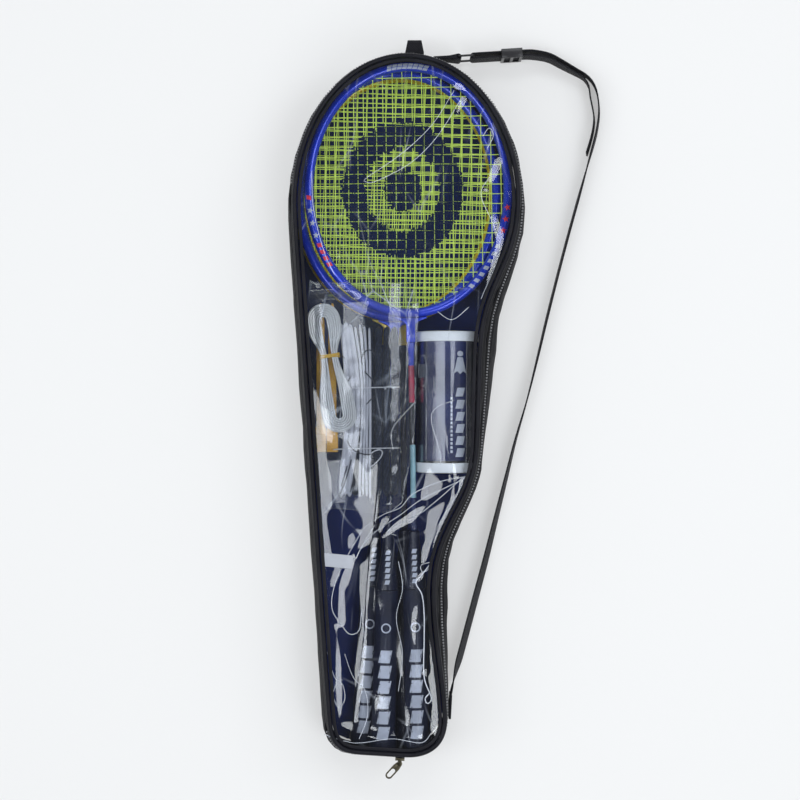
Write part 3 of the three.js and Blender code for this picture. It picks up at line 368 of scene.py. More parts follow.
def smoothstep(low, high, value):
    """Eases from 0 at low to 1 at high, which may lie either way round."""
    share = min(1.0, max(0.0, (value - low) / (high - low)))
    return share * share * (3 - 2 * share)


# ---------------------------------------------------------------- finishes


class Finish:
    """A material being built: one Principled shader and the nodes that feed it."""

    def __init__(self, name, colour_value, roughness=0.5, **sockets):
        self.material = bpy.data.materials.new(name)
        self.material.use_nodes = True
        self.tree = self.material.node_tree
        self.shader = self.tree.nodes["Principled BSDF"]
        self.shader.inputs["Base Color"].default_value = (*colour_value, 1)
        self.shader.inputs["Roughness"].default_value = roughness
        self.shader.inputs["Specular IOR Level"].default_value = 0.3
        for key, value in sockets.items():
            self.shader.inputs[key.replace("_", " ").title()].default_value = value
        self.where = self.add("ShaderNodeTexCoord").outputs["Object"]

    def add(self, kind, settings=None, **inputs):
        made = self.tree.nodes.new(kind)
        for key, value in (settings or {}).items():
            setattr(made, key, value)
        for key, value in inputs.items():
            socket = made.inputs[int(key[1:])] if key[0] == "i" and key[1:].isdigit() else made.inputs[key]
            if isinstance(value, bpy.types.NodeSocket):
                self.tree.links.new(value, socket)
            else:
                socket.default_value = value
        return made

    def link(self, output, socket):
        self.tree.links.new(output, self.shader.inputs[socket])

    def mapped(self, scale=(1, 1, 1), turn=(0, 0, 0), shift=(0, 0, 0)):
        mapping = self.add("ShaderNodeMapping", Vector=self.where)
        mapping.inputs["Scale"].default_value = scale
        mapping.inputs["Rotation"].default_value = turn
        mapping.inputs["Location"].default_value = shift
        return mapping.outputs["Vector"]

    def noise(self, scale, detail=3.0, roughness=0.5, vector=None):
        made = self.add("ShaderNodeTexNoise", Vector=vector or self.where, Scale=scale, Detail=detail)
        made.inputs["Roughness"].default_value = roughness
        return made.outputs["Fac"]

    def wave(self, scale, axis="X", distortion=0.0, vector=None):
        vector = vector or self.where
        made = self.add("ShaderNodeTexWave", {"bands_direction": axis}, Vector=vector, Scale=scale)
        made.inputs["Distortion"].default_value = distortion
        return made.outputs["Fac"]

    def math(self, operation, a, b=0.0):
        return self.add("ShaderNodeMath", {"operation": operation}, i0=a, i1=b).outputs[0]

    def spread(self, value, low, high, to_low=0.0, to_high=1.0):
        made = self.add("ShaderNodeMapRange", {"clamp": True}, Value=value)
        for key, number in (("From Min", low), ("From Max", high), ("To Min", to_low), ("To Max", to_high)):
            made.inputs[key].default_value = number
        return made.outputs["Result"]

    def blend(self, share, first, second):
        """A colour between two, each a colour or a socket."""
        made = self.add("ShaderNodeMix", {"data_type": "RGBA"})
        self.tree.links.new(share, made.inputs[0])
        for socket, value in ((made.inputs[6], first), (made.inputs[7], second)):
            if isinstance(value, bpy.types.NodeSocket):
                self.tree.links.new(value, socket)
            else:
                socket.default_value = (*value, 1)
        return made.outputs[2]

    def bump(self, height, strength, distance=0.001, below=None):
        made = self.add("ShaderNodeBump", Height=height, Strength=strength, Distance=distance)
        if below is not None:
            self.tree.links.new(below, made.inputs["Normal"])
        return made.outputs["Normal"]


def darker(colour_value, share):
    return tuple(c * share for c in colour_value)


def woven(name, colour_value, threads=900, roughness=0.85, contrast=0.6, sheen=0.3, patch=9):
    """Plain woven cloth: two crossed sets of threads with painted shade in the low parts of the weave, and
    slow random changes of tone.
    """
    f = Finish(name, colour_value, roughness, sheen_weight=sheen)
    f.shader.inputs["Sheen Roughness"].default_value = 0.45
    f.shader.inputs["Specular IOR Level"].default_value = 0.12
    warp = f.wave(threads, "X", 0.6)
    weft = f.wave(threads, "Y", 0.6)
    rise = f.wave(threads, "Z", 0.6)
    threads_height = f.math("MULTIPLY", f.math("MAXIMUM", warp, weft), f.spread(rise, 0, 1, 0.75, 1.0))
    cloud = f.noise(patch, 4.0, 0.6)
    shade = f.blend(f.spread(cloud, 0.35, 0.7), darker(colour_value, contrast), colour_value)
    # Painted shade: where the weave lies low, the cloth colour is darkened to 0.55.
    base = f.blend(f.spread(threads_height, 0.2, 0.9), darker(colour_value, 0.55), shade)
    f.link(base, "Base Color")
    soft = f.bump(f.noise(60, 3.0), 0.25, 0.0008)
    f.link(f.bump(threads_height, 0.35, 0.0003, soft), "Normal")
    f.link(f.spread(cloud, 0.3, 0.7, roughness - 0.12, min(1.0, roughness + 0.08)), "Roughness")
    return f.material


def moulded(name, colour_value, roughness=0.4, coat=0.0, grain=900, metallic=0.0, wear=0.25):
    """Moulded plastic or cast metal: a fine grain, scuffs, and a little unevenness."""
    f = Finish(name, colour_value, roughness, metallic=metallic, coat_weight=coat)
    f.shader.inputs["Coat Roughness"].default_value = 0.12
    cloud = f.noise(35, 4.0, 0.6)
    light = tuple(min(1.0, c * (1 + wear) + 0.01 * wear) for c in colour_value)
    f.link(f.blend(f.spread(cloud, 0.35, 0.7), darker(colour_value, 1 - wear / 2), light), "Base Color")
    scuff = f.noise(260, 5.0, 0.7)
    f.link(f.spread(scuff, 0.3, 0.75, max(0.05, roughness - 0.1), min(1.0, roughness + 0.16)), "Roughness")
    f.link(f.bump(f.noise(grain, 2.0), 0.12, 0.0002), "Normal")
    return f.material


def clear_film(name, tint, gloss, haze, crinkle, lines, roughness=0.05, haze_colour=(0.75, 0.8, 0.9)):
    """Clear film: what is behind shows through, under a mirror layer, a slight haze and crease lines of
    painted highlight.
    """
    f = Finish(name, haze_colour, 0.5)
    tree = f.tree
    wide = f.noise(24, 2.0, 0.45, f.mapped((1, 0.35, 1)))
    fine = f.noise(130, 4.0, 0.6, f.mapped((1, 0.5, 1), (0, 0, 0.5)))
    normal = f.bump(wide, 0.5 * crinkle, 0.003)
    normal = f.bump(fine, 0.10 * crinkle, 0.0006, normal)
    see = f.add("ShaderNodeBsdfTransparent")
    see.inputs["Color"].default_value = (*tint, 1)
    shine = f.add("ShaderNodeBsdfGlossy")
    shine.inputs["Color"].default_value = (1, 1, 1, 1)
    shine.inputs["Roughness"].default_value = roughness
    tree.links.new(normal, shine.inputs["Normal"])
    edge = f.add("ShaderNodeFresnel")
    edge.inputs["IOR"].default_value = 1.5
    tree.links.new(normal, edge.inputs["Normal"])
    share = f.math("ADD", f.math("MULTIPLY", edge.outputs[0], 0.75), gloss)
    mirror = f.add("ShaderNodeMixShader", i0=share, i1=see.outputs[0], i2=shine.outputs[0])
    cloud = f.spread(f.noise(14, 4.0, 0.6), 0.35, 0.75, haze * 0.5, haze * 1.6)
    # Painted highlight: thin whitish lines along cell edges add to the haze, where light would catch on
    # creases.
    for scale, lean, share in ((13, 0.35, 1.0), (24, -0.5, 0.7)):
        slow = f.noise(6, 1.0)
        sway = f.add("ShaderNodeVectorMath", {"operation": "SCALE"}, i0=slow, Scale=0.05).outputs[0]
        leaning = f.mapped((1, 0.4, 0), (0, 0, lean))
        bent = f.add("ShaderNodeVectorMath", i0=leaning, i1=sway).outputs[0]
        cells = f.add("ShaderNodeTexVoronoi", {"feature": "DISTANCE_TO_EDGE"}, Vector=bent, Scale=scale)
        faint = f.spread(f.noise(15, 2.0), 0.46, 0.66, 0.0, lines * share)
        width = 0.00075 * scale
        near_edge = f.spread(cells.outputs["Distance"], width * 0.3, width, 1.0, 0.0)
        cloud = f.math("ADD", cloud, f.math("MULTIPLY", near_edge, faint))
    f.link(normal, "Normal")
    whole = f.add("ShaderNodeMixShader", i0=cloud, i1=mirror.outputs[0], i2=f.shader.outputs[0])
    tree.links.new(whole.outputs[0], tree.nodes["Material Output"].inputs["Surface"])
    return f.material


def lacquer(name, colour_value, roughness=0.22):
    """Glossy paint over metal, with a faint orange-peel surface."""
    f = Finish(name, colour_value, roughness, metallic=0.25, coat_weight=0.8)
    f.shader.inputs["Coat Roughness"].default_value = 0.08
    cloud = f.noise(22, 3.0)
    f.link(f.blend(f.spread(cloud, 0.3, 0.7), darker(colour_value, 0.75), colour_value), "Base Color")
    f.link(f.spread(f.noise(300, 4.0), 0.3, 0.8, roughness - 0.08, roughness + 0.12), "Roughness")
    f.link(f.bump(f.noise(420, 2.0), 0.06, 0.0002), "Normal")
    return f.material


def string_finish(name, colour_value, stencil=None, centre=(0, 0)):
    """Nylon string, twisted finely, with a slight painted glow in its own colour. With a stencil, a ring and
    a disc are painted across the bed.
    """
    ring_inside, ring_outside, disc_radius = 0.041, 0.067, 0.021
    ragged = 0.0022
    # Painted light: the strings glow at emission strength 0.14.
    f = Finish(name, colour_value, 0.35, coat_weight=0.3, emission_strength=0.14)
    cloud = f.noise(60, 3.0)
    base = f.blend(f.spread(cloud, 0.3, 0.7), darker(colour_value, 0.72), colour_value)
    if stencil is not None:
        centred = f.mapped((1, 1, 0), shift=(-centre[0], -centre[1], 0))
        parts = f.add("ShaderNodeSeparateXYZ", Vector=centred)
        across = f.math("MULTIPLY", parts.outputs[0], 1.12)
        flat = f.add("ShaderNodeCombineXYZ", X=across, Y=parts.outputs[1])
        away = f.add("ShaderNodeVectorMath", {"operation": "LENGTH"}, i0=flat.outputs[0])
        blur = f.spread(f.noise(320, 1.0), 0.2, 0.8, -ragged, ragged)
        rough_edge = f.math("ADD", away.outputs["Value"], blur)
        outside = f.math("GREATER_THAN", rough_edge, ring_inside)
        inside = f.math("LESS_THAN", rough_edge, ring_outside)
        ring = f.math("MULTIPLY", outside, inside)
        disc = f.math("LESS_THAN", rough_edge, disc_radius)
        base = f.blend(f.math("MAXIMUM", ring, disc), base, stencil)
    f.link(base, "Base Color")
    # The painted glow takes the string colour, stencil included.
    f.link(base, "Emission Color")
    f.link(f.bump(f.wave(1600, "DIAGONAL", 0.4), 0.2, 0.0002), "Normal")
    return f.material


def banded_paint(name, bands, roughness=0.25):
    """Paint that changes along the racket: each band is an upper end and a colour, from the grip up."""
    f = Finish(name, bands[0][1], roughness, coat_weight=0.6)
    along = f.add("ShaderNodeSeparateXYZ", Vector=f.where).outputs["Y"]
    base = bands[0][1]
    for (end, _), (_, next_colour) in zip(bands, bands[1:]):
        base = f.blend(f.math("GREATER_THAN", along, end), base, next_colour)
    cloud = f.spread(f.noise(90, 3.0), 0.3, 0.7, 0.0, 0.25)
    f.link(f.blend(cloud, base, (0.02, 0.02, 0.03)), "Base Color")
    f.link(f.bump(f.noise(500, 2.0), 0.05, 0.0002), "Normal")
    return f.material


def rubbery(name, colour_value, roughness=0.62):
    """Grip tape: small pits and a slightly worn shine."""
    f = Finish(name, colour_value, roughness)
    pits = f.add("ShaderNodeTexVoronoi", Vector=f.where, Scale=750).outputs["Distance"]
    cloud = f.noise(40, 4.0, 0.6)
    f.link(f.blend(f.spread(cloud, 0.35, 0.7), darker(colour_value, 0.6), colour_value), "Base Color")
    f.link(f.bump(pits, 0.35, 0.0004), "Normal")
    f.link(f.spread(cloud, 0.3, 0.7, roughness - 0.15, roughness + 0.1), "Roughness")
    return f.material


def corded(name, colour_value, shaded=0.8):
    """Braided cord: slanting strands over a soft fibre bump, with painted shade in the gaps between strands
    and low on its sides.
    """
    f = Finish(name, colour_value, 0.7, sheen_weight=0.3)
    one = f.wave(700, "DIAGONAL", 0.8)
    other = f.wave(700, "DIAGONAL", 0.8, f.mapped((-1, 1, 1)))
    strands = f.math("MAXIMUM", one, other)
    cloud = f.noise(80, 4.0)
    # Painted shade: the gaps between strands are darkened to 0.72 of the cord colour.
    base = f.blend(f.spread(strands, 0.2, 0.9), darker(colour_value, 0.72), colour_value)
    worn = f.blend(f.spread(cloud, 0.4, 0.8, 0.0, 0.3), base, darker(colour_value, 0.6))
    # Painted shade: faces that turn away from straight up are darkened, down to the shaded share of the
    # colour.
    normal = f.add("ShaderNodeNewGeometry").outputs["Normal"]
    facing = f.add("ShaderNodeSeparateXYZ", Vector=normal).outputs[2]
    f.link(f.blend(f.spread(facing, 0.15, 0.85), darker(colour_value, shaded), worn), "Base Color")
    f.link(f.bump(strands, 0.5, 0.0004, f.bump(f.noise(900), 0.2, 0.0003)), "Normal")
    return f.material


def knotted_net(name, colour_value):
    """Folded black netting: square meshes of threads painted lighter as highlight, over gaps painted darker
    as shade, and darker in noise patches.
    """
    f = Finish(name, colour_value, 0.8, sheen_weight=0.03)
    vector = f.mapped((1, 1, 1), (0, 0, 0.35))
    one = f.wave(95, "X", 1.4, vector)
    other = f.wave(95, "Y", 1.4, vector)
    lines = f.math("MAXIMUM", f.math("POWER", one, 6.0), f.math("POWER", other, 6.0))
    cloud = f.noise(24, 5.0, 0.7)
    # Painted highlight and shade: threads at twice the net colour, gaps between them at 0.45 of it.
    base = f.blend(lines, darker(colour_value, 0.45), tuple(min(1.0, c * 2.0) for c in colour_value))
    f.link(f.blend(f.spread(cloud, 0.5, 0.75), base, darker(colour_value, 0.3)), "Base Color")
    f.link(f.bump(lines, 0.6, 0.0008, f.bump(cloud, 0.6, 0.004)), "Normal")
    return f.material


# ---------------------------------------------------------------- the bag


def outline_at(loop, y):
    """The left and right ends of a loop at y."""
    crossings = []
    for a, b in zip(loop, loop[1:] + loop[:1]):
        if (a.y - y) * (b.y - y) < 0:
            share = (y - a.y) / (b.y - a.y)
            crossings.append(a.x + (b.x - a.x) * share)
    return min(crossings), max(crossings)


def fitted_sheet(name, loop, columns, rows, height, inset=0.0):
    """A sheet that fills a loop, with its height given by place and by the distance from its edge."""
    low = min(p.y for p in loop) + 0.0004 + inset
    high = max(p.y for p in loop) - 0.0004 - inset

    def spot(u, v):
        eased = (1 - math.cos(math.pi * v)) / 2
        y = low + (high - low) * (0.55 * v + 0.45 * eased)
        left, right = outline_at(loop, y)
        margin = min(inset, (right - left) * 0.3)
        x = left + margin + (right - left - 2 * margin) * u
        edge = min(x - left, right - x, y - low + 0.0005, high - y + 0.0005)
        return Vector((x, y, height(x, y, max(0.0, edge))))

    return grid_mesh(name, columns, rows, spot)


# Soft folds of the clear front: how high each stands, how wide it is, and the points that it runs through.
CREASES = [
    (0.0010, 0.0065, [(0.056, -0.068), (0.020, -0.090), (-0.014, -0.112), (-0.045, -0.140)]),
    (0.0009, 0.0055, [(0.058, -0.072), (0.034, -0.118), (0.014, -0.160)]),
    (0.0008, 0.0060, [(-0.050, -0.130), (-0.068, -0.175), (-0.068, -0.205)]),
    (0.0009, 0.0090, [(0.048, 0.305), (0.004, 0.245), (-0.036, 0.220)]),
    (0.0007, 0.0070, [(0.052, 0.300), (0.034, 0.262), (0.002, 0.228), (-0.030, 0.206)]),
    (0.0008, 0.0070, [(0.085, 0.242), (0.070, 0.210), (0.086, 0.160), (0.074, 0.110)]),
    (0.0009, 0.0050, [(0.020, -0.262), (0.028, -0.285), (0.022, -0.312)]),
    (0.0008, 0.0050, [(-0.062, -0.312), (-0.030, -0.322), (0.010, -0.320)]),
]

# Sharp fold lines of the clear front, drawn whitish as painted highlight: half the width of each, and its
# points, in millimetres.
FOLD_LINES = [
    (0.32, [(58, -68), (32, -73), (6, -85), (-6, -98), (-23, -105), (-40, -117), (-51, -134), (-62, -154),
            (-71, -178), (-72, -197), (-63, -212), (-55, -221), (-46, -217), (-44, -200)]),
    (0.30, [(58, -69), (37, -79), (13, -91), (-6, -105), (-31, -122), (-45, -139), (-49, -148), (-44, -137),
            (-31, -115)]),
    (0.28, [(57, -71), (32, -113), (23, -134), (15, -149)]),
    (0.50, [(57, -74), (42, -105), (30, -134), (25, -149), (15, -163), (9, -171), (15, -183), (17, -202),
            (17, -226), (17, -262), (24, -282), (20, -288), (18, -283), (22, -278)]),
    (0.28, [(52, -71), (27, -93), (11, -105), (-14, -117), (-18, -122), (-10, -125)]),
    (0.28, [(23, -151), (14, -154), (15, -160), (20, -159), (24, -152)]),
    (0.30, [(-77, -238), (-70, -262), (-62, -270), (-60, -284), (-66, -292), (-71, -280), (-68, -268)]),
    (0.26, [(-60, -240), (-52, -262), (-40, -276), (-38, -300), (-46, -322)]),
    (0.26, [(-44, -196), (-41, -232), (-47, -262)]),
    (0.26, [(-8, -150), (-4, -176), (-10, -205), (-4, -240), (-8, -276)]),
    (0.28, [(-80, -318), (-50, -326), (-14, -322), (14, -326), (24, -316)]),
    (0.28, [(46, 306), (24, 272), (-6, 244), (-38, 222), (-40, 218), (-30, 218), (4, 236), (30, 262),
            (54, 300)]),
    (0.28, [(74, 262), (80, 270), (84, 262), (78, 250)]),
    (0.26, [(84, 226), (72, 206), (84, 176), (90, 150), (72, 104)]),
    (0.28, [(-92, 228), (-90, 190), (-80, 150), (-70, 128)]),
    (0.30, [(46, 6), (28, -2), (24, -14), (32, -44), (33, -56)]),
    (0.26, [(8, 4), (-10, -16), (-15, -27), (-13, -42)]),
    (0.24, [(60, 96), (44, 84), (30, 92)]),
]


def crease_height(x, y):
    total = 0.0
    for height, width, points in CREASES:
        nearest = 1.0
        for (ax, ay), (bx, by) in zip(points, points[1:]):
            dx, dy = bx - ax, by - ay
            share = max(0.0, min(1.0, ((x - ax) * dx + (y - ay) * dy) / (dx * dx + dy * dy)))
            nearest = min(nearest, math.hypot(x - ax - dx * share, y - ay - dy * share))
        total += height * math.exp(-((nearest / width) ** 2))
    return total


def front_film_height(base, wrinkle):
    """Broad waves, long folds between the grips, and the creases, dying away at the piping."""

    def height(x, y, edge):
        broad = noise.noise(Vector((x * 11, y * 6, 1.3)))
        lower = smoothstep(0.02, -0.14, y)
        folds = noise.noise(Vector((x * 34, y * 5.5, 4.1))) * lower
        slanted = noise.noise(Vector(((x + y * 0.7) * 30, (y - x) * 5, 7.7)))
        waist = math.exp(-(((y + 0.12) / 0.10) ** 2))
        fine = noise.noise(Vector((x * 70, y * 50, 2.2)))
        ridge = (1 - min(1.0, abs(noise.noise(Vector((x * 26, y * 5.0, 6.1)))) * 3.2)) ** 2 * lower
        rise = broad * (0.35 + 0.65 * lower) + folds * 1.6 + slanted * (0.30 + 0.8 * waist)
        rise += fine * 0.06 + ridge * 0.9
        inner = smoothstep(0.0, 0.012, edge)
        most = 0.0032
        return base + inner * most * math.tanh((wrinkle * rise + crease_height(x, y)) / most)

    return height


def rumple(wall, above, below):
    """Pushes a wall in and out in soft folds, and reaches its edges up and down into their seams."""
    low = min(v.co.z for v in wall.data.vertices)
    high = max(v.co.z for v in wall.data.vertices)
    middle = (low + high) / 2
    half = (high - low) / 2
    moves = []
    for v in wall.data.vertices:
        inner = 1 - smoothstep(0.7, 1.0, abs(v.co.z - middle) / half)
        fold = noise.noise(Vector((v.co.x * 24, v.co.y * 24, v.co.z * 34)))
        fold += 0.5 * noise.noise(Vector((v.co.x * 60, v.co.y * 60, v.co.z * 50)))
        edge = above if v.co.z > high - 0.0004 else -below if v.co.z < low + 0.0004 else 0.0
        push = 0.0014 * fold * inner
        moves.append(Vector((v.normal.x * push, v.normal.y * push, edge)))
    for v, move in zip(wall.data.vertices, moves):
        v.co += move


def make_walls(settings):
    fabric = woven("charcoal_oxford", settings.fabric, 620, 0.72, 0.55, 0.04, 14)
    for node, body, above, below in (
        ("side_wall", "bag", 0.00012, 0.0018),
        ("cover_wall", "cover", 0.0018, 0.00012),
    ):
        wall = copy_of(node)
        modifier(wall, "SUBSURF", levels=2, render_levels=2, subdivision_type="SIMPLE")
        rumple(wall, above, below)
        finish(wall, node + "_cloth", body, "fabric", fabric, [node], 60)
    tape = woven("zip_tape_cloth", darker(settings.fabric, 0.5), 1100, 0.7, 0.7, 0.02)
    for node, body in (("zip_tape_lower", "bag"), ("zip_tape_upper", "cover")):
        strip = copy_of(node)
        modifier(strip, "SUBSURF", levels=2, render_levels=2)
        finish(strip, node + "_cloth", body, "zip_tape", tape, [node], 60)


def make_panels(settings):
    lining = woven("navy_lining", settings.lining, 900, 0.6, 0.5, 0.03, 12)
    loop = top_loop("back_panel")
    thickness = 0.0012

    def flat(x, y, edge):
        inner = smoothstep(0.0, 0.02, edge)
        return 0.0009 + 0.0003 * inner * noise.noise(Vector((x * 18, y * 12, 3.0)))

    panel = fitted_sheet("back_panel_sheet", loop, 40, 110, flat)
    modifier(panel, "SOLIDIFY", thickness=thickness, offset=-0.4)
    finish(panel, "back_panel_lining", "bag", "lining", lining, ["back_panel"], 60)


def make_piping(settings):
    binding = Finish("black_binding", settings.binding, 0.42)
    ribs = binding.wave(420, "DIAGONAL", 0.5)
    binding.link(binding.bump(ribs, 0.3, 0.0004), "Normal")
    grime = binding.noise(30, 4.0)
    shade = binding.blend(binding.spread(grime, 0.4, 0.7), settings.binding, (0.008, 0.008, 0.012))
    binding.link(shade, "Base Color")
    binding.shader.inputs["Specular IOR Level"].default_value = 0.16
    for node, body in (("back_piping", "bag"), ("front_piping", "cover")):
        cord = copy_of(node)
        modifier(cord, "SUBSURF", levels=2, render_levels=2)
        only(cord)
        bpy.ops.object.mode_set(mode="EDIT")
        bpy.ops.mesh.select_all(action="SELECT")
        bpy.ops.transform.shrink_fatten(value=-0.0003)
        bpy.ops.object.mode_set(mode="OBJECT")
        finish(cord, node + "_cord", body, "binding", binding.material, [node], 80)
    make_edge_tape(binding.material)


def inward(loop, distance, z):
    """The loop moved in by a distance, at one height."""
    count = len(loop)
    side = 1 if signed_area(loop) > 0 else -1
    moved = []
    for i, point in enumerate(loop):
        along = (loop[(i + 1) % count] - loop[i - 1]).normalized()
        normal = Vector((-along.y, along.x, 0)) * side
        moved.append(Vector((point.x + normal.x * distance, point.y + normal.y * distance, z)))
    return moved


def resampled(points, step, closed):
    """Points at an even step along a polyline."""
    line = points + points[:1] if closed else list(points)
    lengths = [(b - a).length for a, b in zip(line, line[1:])]
    total = sum(lengths)
    count = max(2, round(total / step))
    spots, index, passed = [], 0, 0.0
    for i in range(count if closed else count + 1):
        target = total * i / count
        while index < len(lengths) - 1 and passed + lengths[index] < target:
            passed += lengths[index]
            index += 1
        share = (target - passed) / lengths[index]
        spots.append(line[index].lerp(line[index + 1], min(1.0, share)))
    return spots


def make_edge_tape(binding):
    """A flat tape sewn over the edge of the clear front."""
    loop = top_loop("front_window")
    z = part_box("front_window")[1].z
    middle = resampled(inward(loop, 0.0010, z + 0.0004), 0.006, True)
    work = bmesh.new()
    rows = []
    section = [(-0.0022, 0.0), (-0.0019, 0.0009), (0.0013, 0.0009), (0.0017, 0.0003), (0.0017, -0.0002)]
    count = len(middle)
    for i, point in enumerate(middle):
        along = (middle[(i + 1) % count] - middle[i - 1]).normalized()
        across = along.cross(Vector((0, 0, 1)))
        rows.append([work.verts.new(point + across * u + Vector((0, 0, v))) for u, v in section])
    for i in range(count):
        ahead = rows[(i + 1) % count]
        for j in range(len(section)):
            k = (j + 1) % len(section)
            work.faces.new((rows[i][j], rows[i][k], ahead[k], ahead[j]))
    bmesh.ops.recalc_face_normals(work, faces=work.faces)
    tape = from_work("edge_tape", work)
    modifier(tape, "SUBSURF", levels=1, render_levels=1)
    finish(tape, "front_edge_tape", "cover", "binding", binding, (), 60)


def make_front_film(settings):
    # The front film carries painted highlight lines along its creases, at strength 0.10.
    film = clear_film("front_vinyl", (0.985, 0.99, 1.0), 0.012, 0.004, 0.35, 0.10)
    loop = top_loop("front_window")
    height = front_film_height(middle_of("front_window").z, settings.wrinkle_height)
    sheet = fitted_sheet("front_film", loop, 116, 310, height)
    modifier(sheet, "SOLIDIFY", thickness=0.0004, offset=0)
    finish(sheet, "front_vinyl_sheet", "cover", "window_film", film, ["front_window"], 180)
    make_fold_lines(height, loop)


def make_fold_lines(height, loop):
    """Sharp folds, where the film is folded double; their whitish colour is a painted highlight."""
    bottom, top = min(p.y for p in loop), max(p.y for p in loop)
    # Painted highlight: the folds take a whitish haze colour at a strong haze share.
    white = (0.80, 0.85, 0.95)
    fold_highlight_film = clear_film("fold_highlight_vinyl", (0.985, 0.99, 1.0), 0.10, 0.38, 0.2, 0.0, 0.08, white)
    lines = []
    for half_width, points in FOLD_LINES:
        route = smooth_line([Vector((x * MM, y * MM, 0)) for x, y in points], 0.0022)
        for point in route:
            left, right = outline_at(loop, point.y)
            edge = min(point.x - left, right - point.x, point.y - bottom, top - point.y)
            point.z = height(point.x, point.y, edge) + 0.0004
        wide = half_width * MM
        section = [(-wide, 0), (wide, 0), (wide * 0.3, wide * 0.7), (-wide * 0.3, wide * 0.7)]
        lines.append(ribbon(route, section))
    folds = joined("folds", lines)
    finish(folds, "front_fold_lines", "cover", "window_film", fold_highlight_film, (), 60)


def make_label():
    cloth = woven("label_cloth", (0.50, 0.52, 0.58), 1500, 0.8, 0.85, 0.2, 60)
    label = bevelled_copy("seam_label", 0.0002)
    finish(label, "seam_label_cloth", "cover", "label_cloth", cloth, ["seam_label"])


def zip_line():
    """The line of the zip's teeth: the outer edge of the lower tape."""
    loop = top_loop("zip_tape_lower")
    count = len(loop)
    ends = sorted(range(count), key=lambda i: (loop[i] - loop[(i + 1) % count]).length)[:2]
    first, second = sorted(ends)
    one = loop[first + 1 : second + 1]
    other = loop[second + 1 :] + loop[: first + 1]

    def size(chain):
        return sum((b - a).length for a, b in zip(chain, chain[1:]))

    return one if size(one) > size(other) else other


def make_zip(settings):
    """Teeth cut once, set along a curve, and the slider with its puller."""
    line = resampled(zip_line(), 0.012, False)
    total = sum((b - a).length for a, b in zip(line, line[1:]))
    plastic = moulded("zip_teeth_nylon", (0.20, 0.20, 0.21), 0.3, 0.3)
    bpy.ops.object.select_all(action="DESELECT")
    bpy.ops.mesh.primitive_cube_add(size=0.001, location=(0, 0, 0))
    tooth = bpy.context.active_object
    tooth.scale = (1.6, 1.9, 2.5)
    bpy.ops.object.transform_apply(scale=True)
    bpy.ops.object.mode_set(mode="EDIT")
    bpy.ops.mesh.select_all(action="SELECT")
    bpy.ops.mesh.bevel(offset=0.00035, segments=1, affect="EDGES")
    bpy.ops.object.mode_set(mode="OBJECT")
    pitch = 0.0029
    modifier(
        tooth,
        "ARRAY",
        count=int((total - 0.01) / pitch),
        use_relative_offset=False,
        use_constant_offset=True,
        constant_offset_displace=(pitch, 0, 0),
    )
    path = tube_along(line, 0.0, kind="POLY", name="zip_path")
    path.data.twist_mode = "Z_UP"
    modifier(tooth, "CURVE", object=path, deform_axis="POS_X")
    bpy.data.objects.remove(path)
    place(tooth, Matrix.Translation((0, 0, 0.00015)))
    finish(tooth, "zip_teeth", "bag", "zip_tape", plastic, (), 30)
    metal = moulded("antique_zip_metal", settings.metal, 0.34, 0.0, 700, 0.95, 0.5)
    for node in ("zip_slider", "zip_puller"):
        part = bevelled_copy(node, 0.0004, 3)
        finish(part, node + "_metal", node, "dark_metal", metal, [node], 35)


# ---------------------------------------------------------------- webbing and strap


def webbing_finish(colour_value):
    """Ribbed webbing: cross ribs with slanting threads, their raised parts painted lighter as highlight."""
    f = Finish("black_webbing", colour_value, 0.6, sheen_weight=0.02)
    f.shader.inputs["Specular IOR Level"].default_value = 0.14
    f.shader.inputs["Sheen Roughness"].default_value = 0.4
    ribs = f.wave(260, "DIAGONAL", 0.6)
    threads = f.wave(900, "Z", 0.8)
    height = f.math("ADD", f.math("MULTIPLY", ribs, 0.6), f.math("MULTIPLY", threads, 0.4))
    # Painted highlight: the raised ribs and threads take a colour 2.4 times the webbing's.
    light = tuple(c * 2.4 + 0.004 for c in colour_value)
    f.link(f.blend(f.spread(height, 0.3, 0.8), colour_value, light), "Base Color")
    f.link(f.bump(height, 0.7, 0.0005), "Normal")
    return f.material


def strap_line():
    """The straight stretch's frame: its middle is the ring's, and it rises a little to the right."""
    return Matrix.Translation(middle_of("strap_ring")) @ Matrix.Rotation(math.radians(3.5), 4, "Z")


# The strap's routes: right of the heel, below the bag's top, and lift of its lower edge, in millimetres.
STRAP_ROUTE = [
    (86.6, -15.6, 5.2),
    (102, -12.9, 3.2),
    (115, -6.7, 1.4),
    (128.8, 0.7, 0),
    (140.3, 7.2, 0),
    (147.6, 15.3, 0),
    (151.6, 26.4, 0),
    (153.2, 43.6, 0),
    (151, 61.8, 0),
    (147.6, 75.9, 0),
    (143, 92.1, 0),
    (131.8, 132.5, 0),
    (120.7, 172.9, 0),
    (110.1, 213.3, 0),
    (100, 253.7, 0),
    (90.4, 294.1, 0),
    (80.3, 334.5, 0),
    (68.7, 374.9, 0),
    (58.6, 415.3, 0),
    (48.5, 455.7, 0),
    (38.4, 496.1, 0),
    (27.6, 536.5, 0.4),
    (16.8, 576.9, 1.6),
    (8, 609.5, 3.2),
    (3.4, 628.1, 6.2),
]
TAIL_ROUTE = [
    (87, -10.7, 5.2),
    (101.4, -8.7, 3.2),
    (113.6, -3.1, 1.4),
    (127.4, 3.9, 0),
    (137.9, 10.2, 0),
    (142.9, 18.3, 0),
    (144.3, 28.4, 0),
    (146.6, 39.5, 0),
    (148.2, 50.7, 0),
    (147, 62.8, 0),
    (144, 74.9, 0),
    (140.6, 86, 0),
]


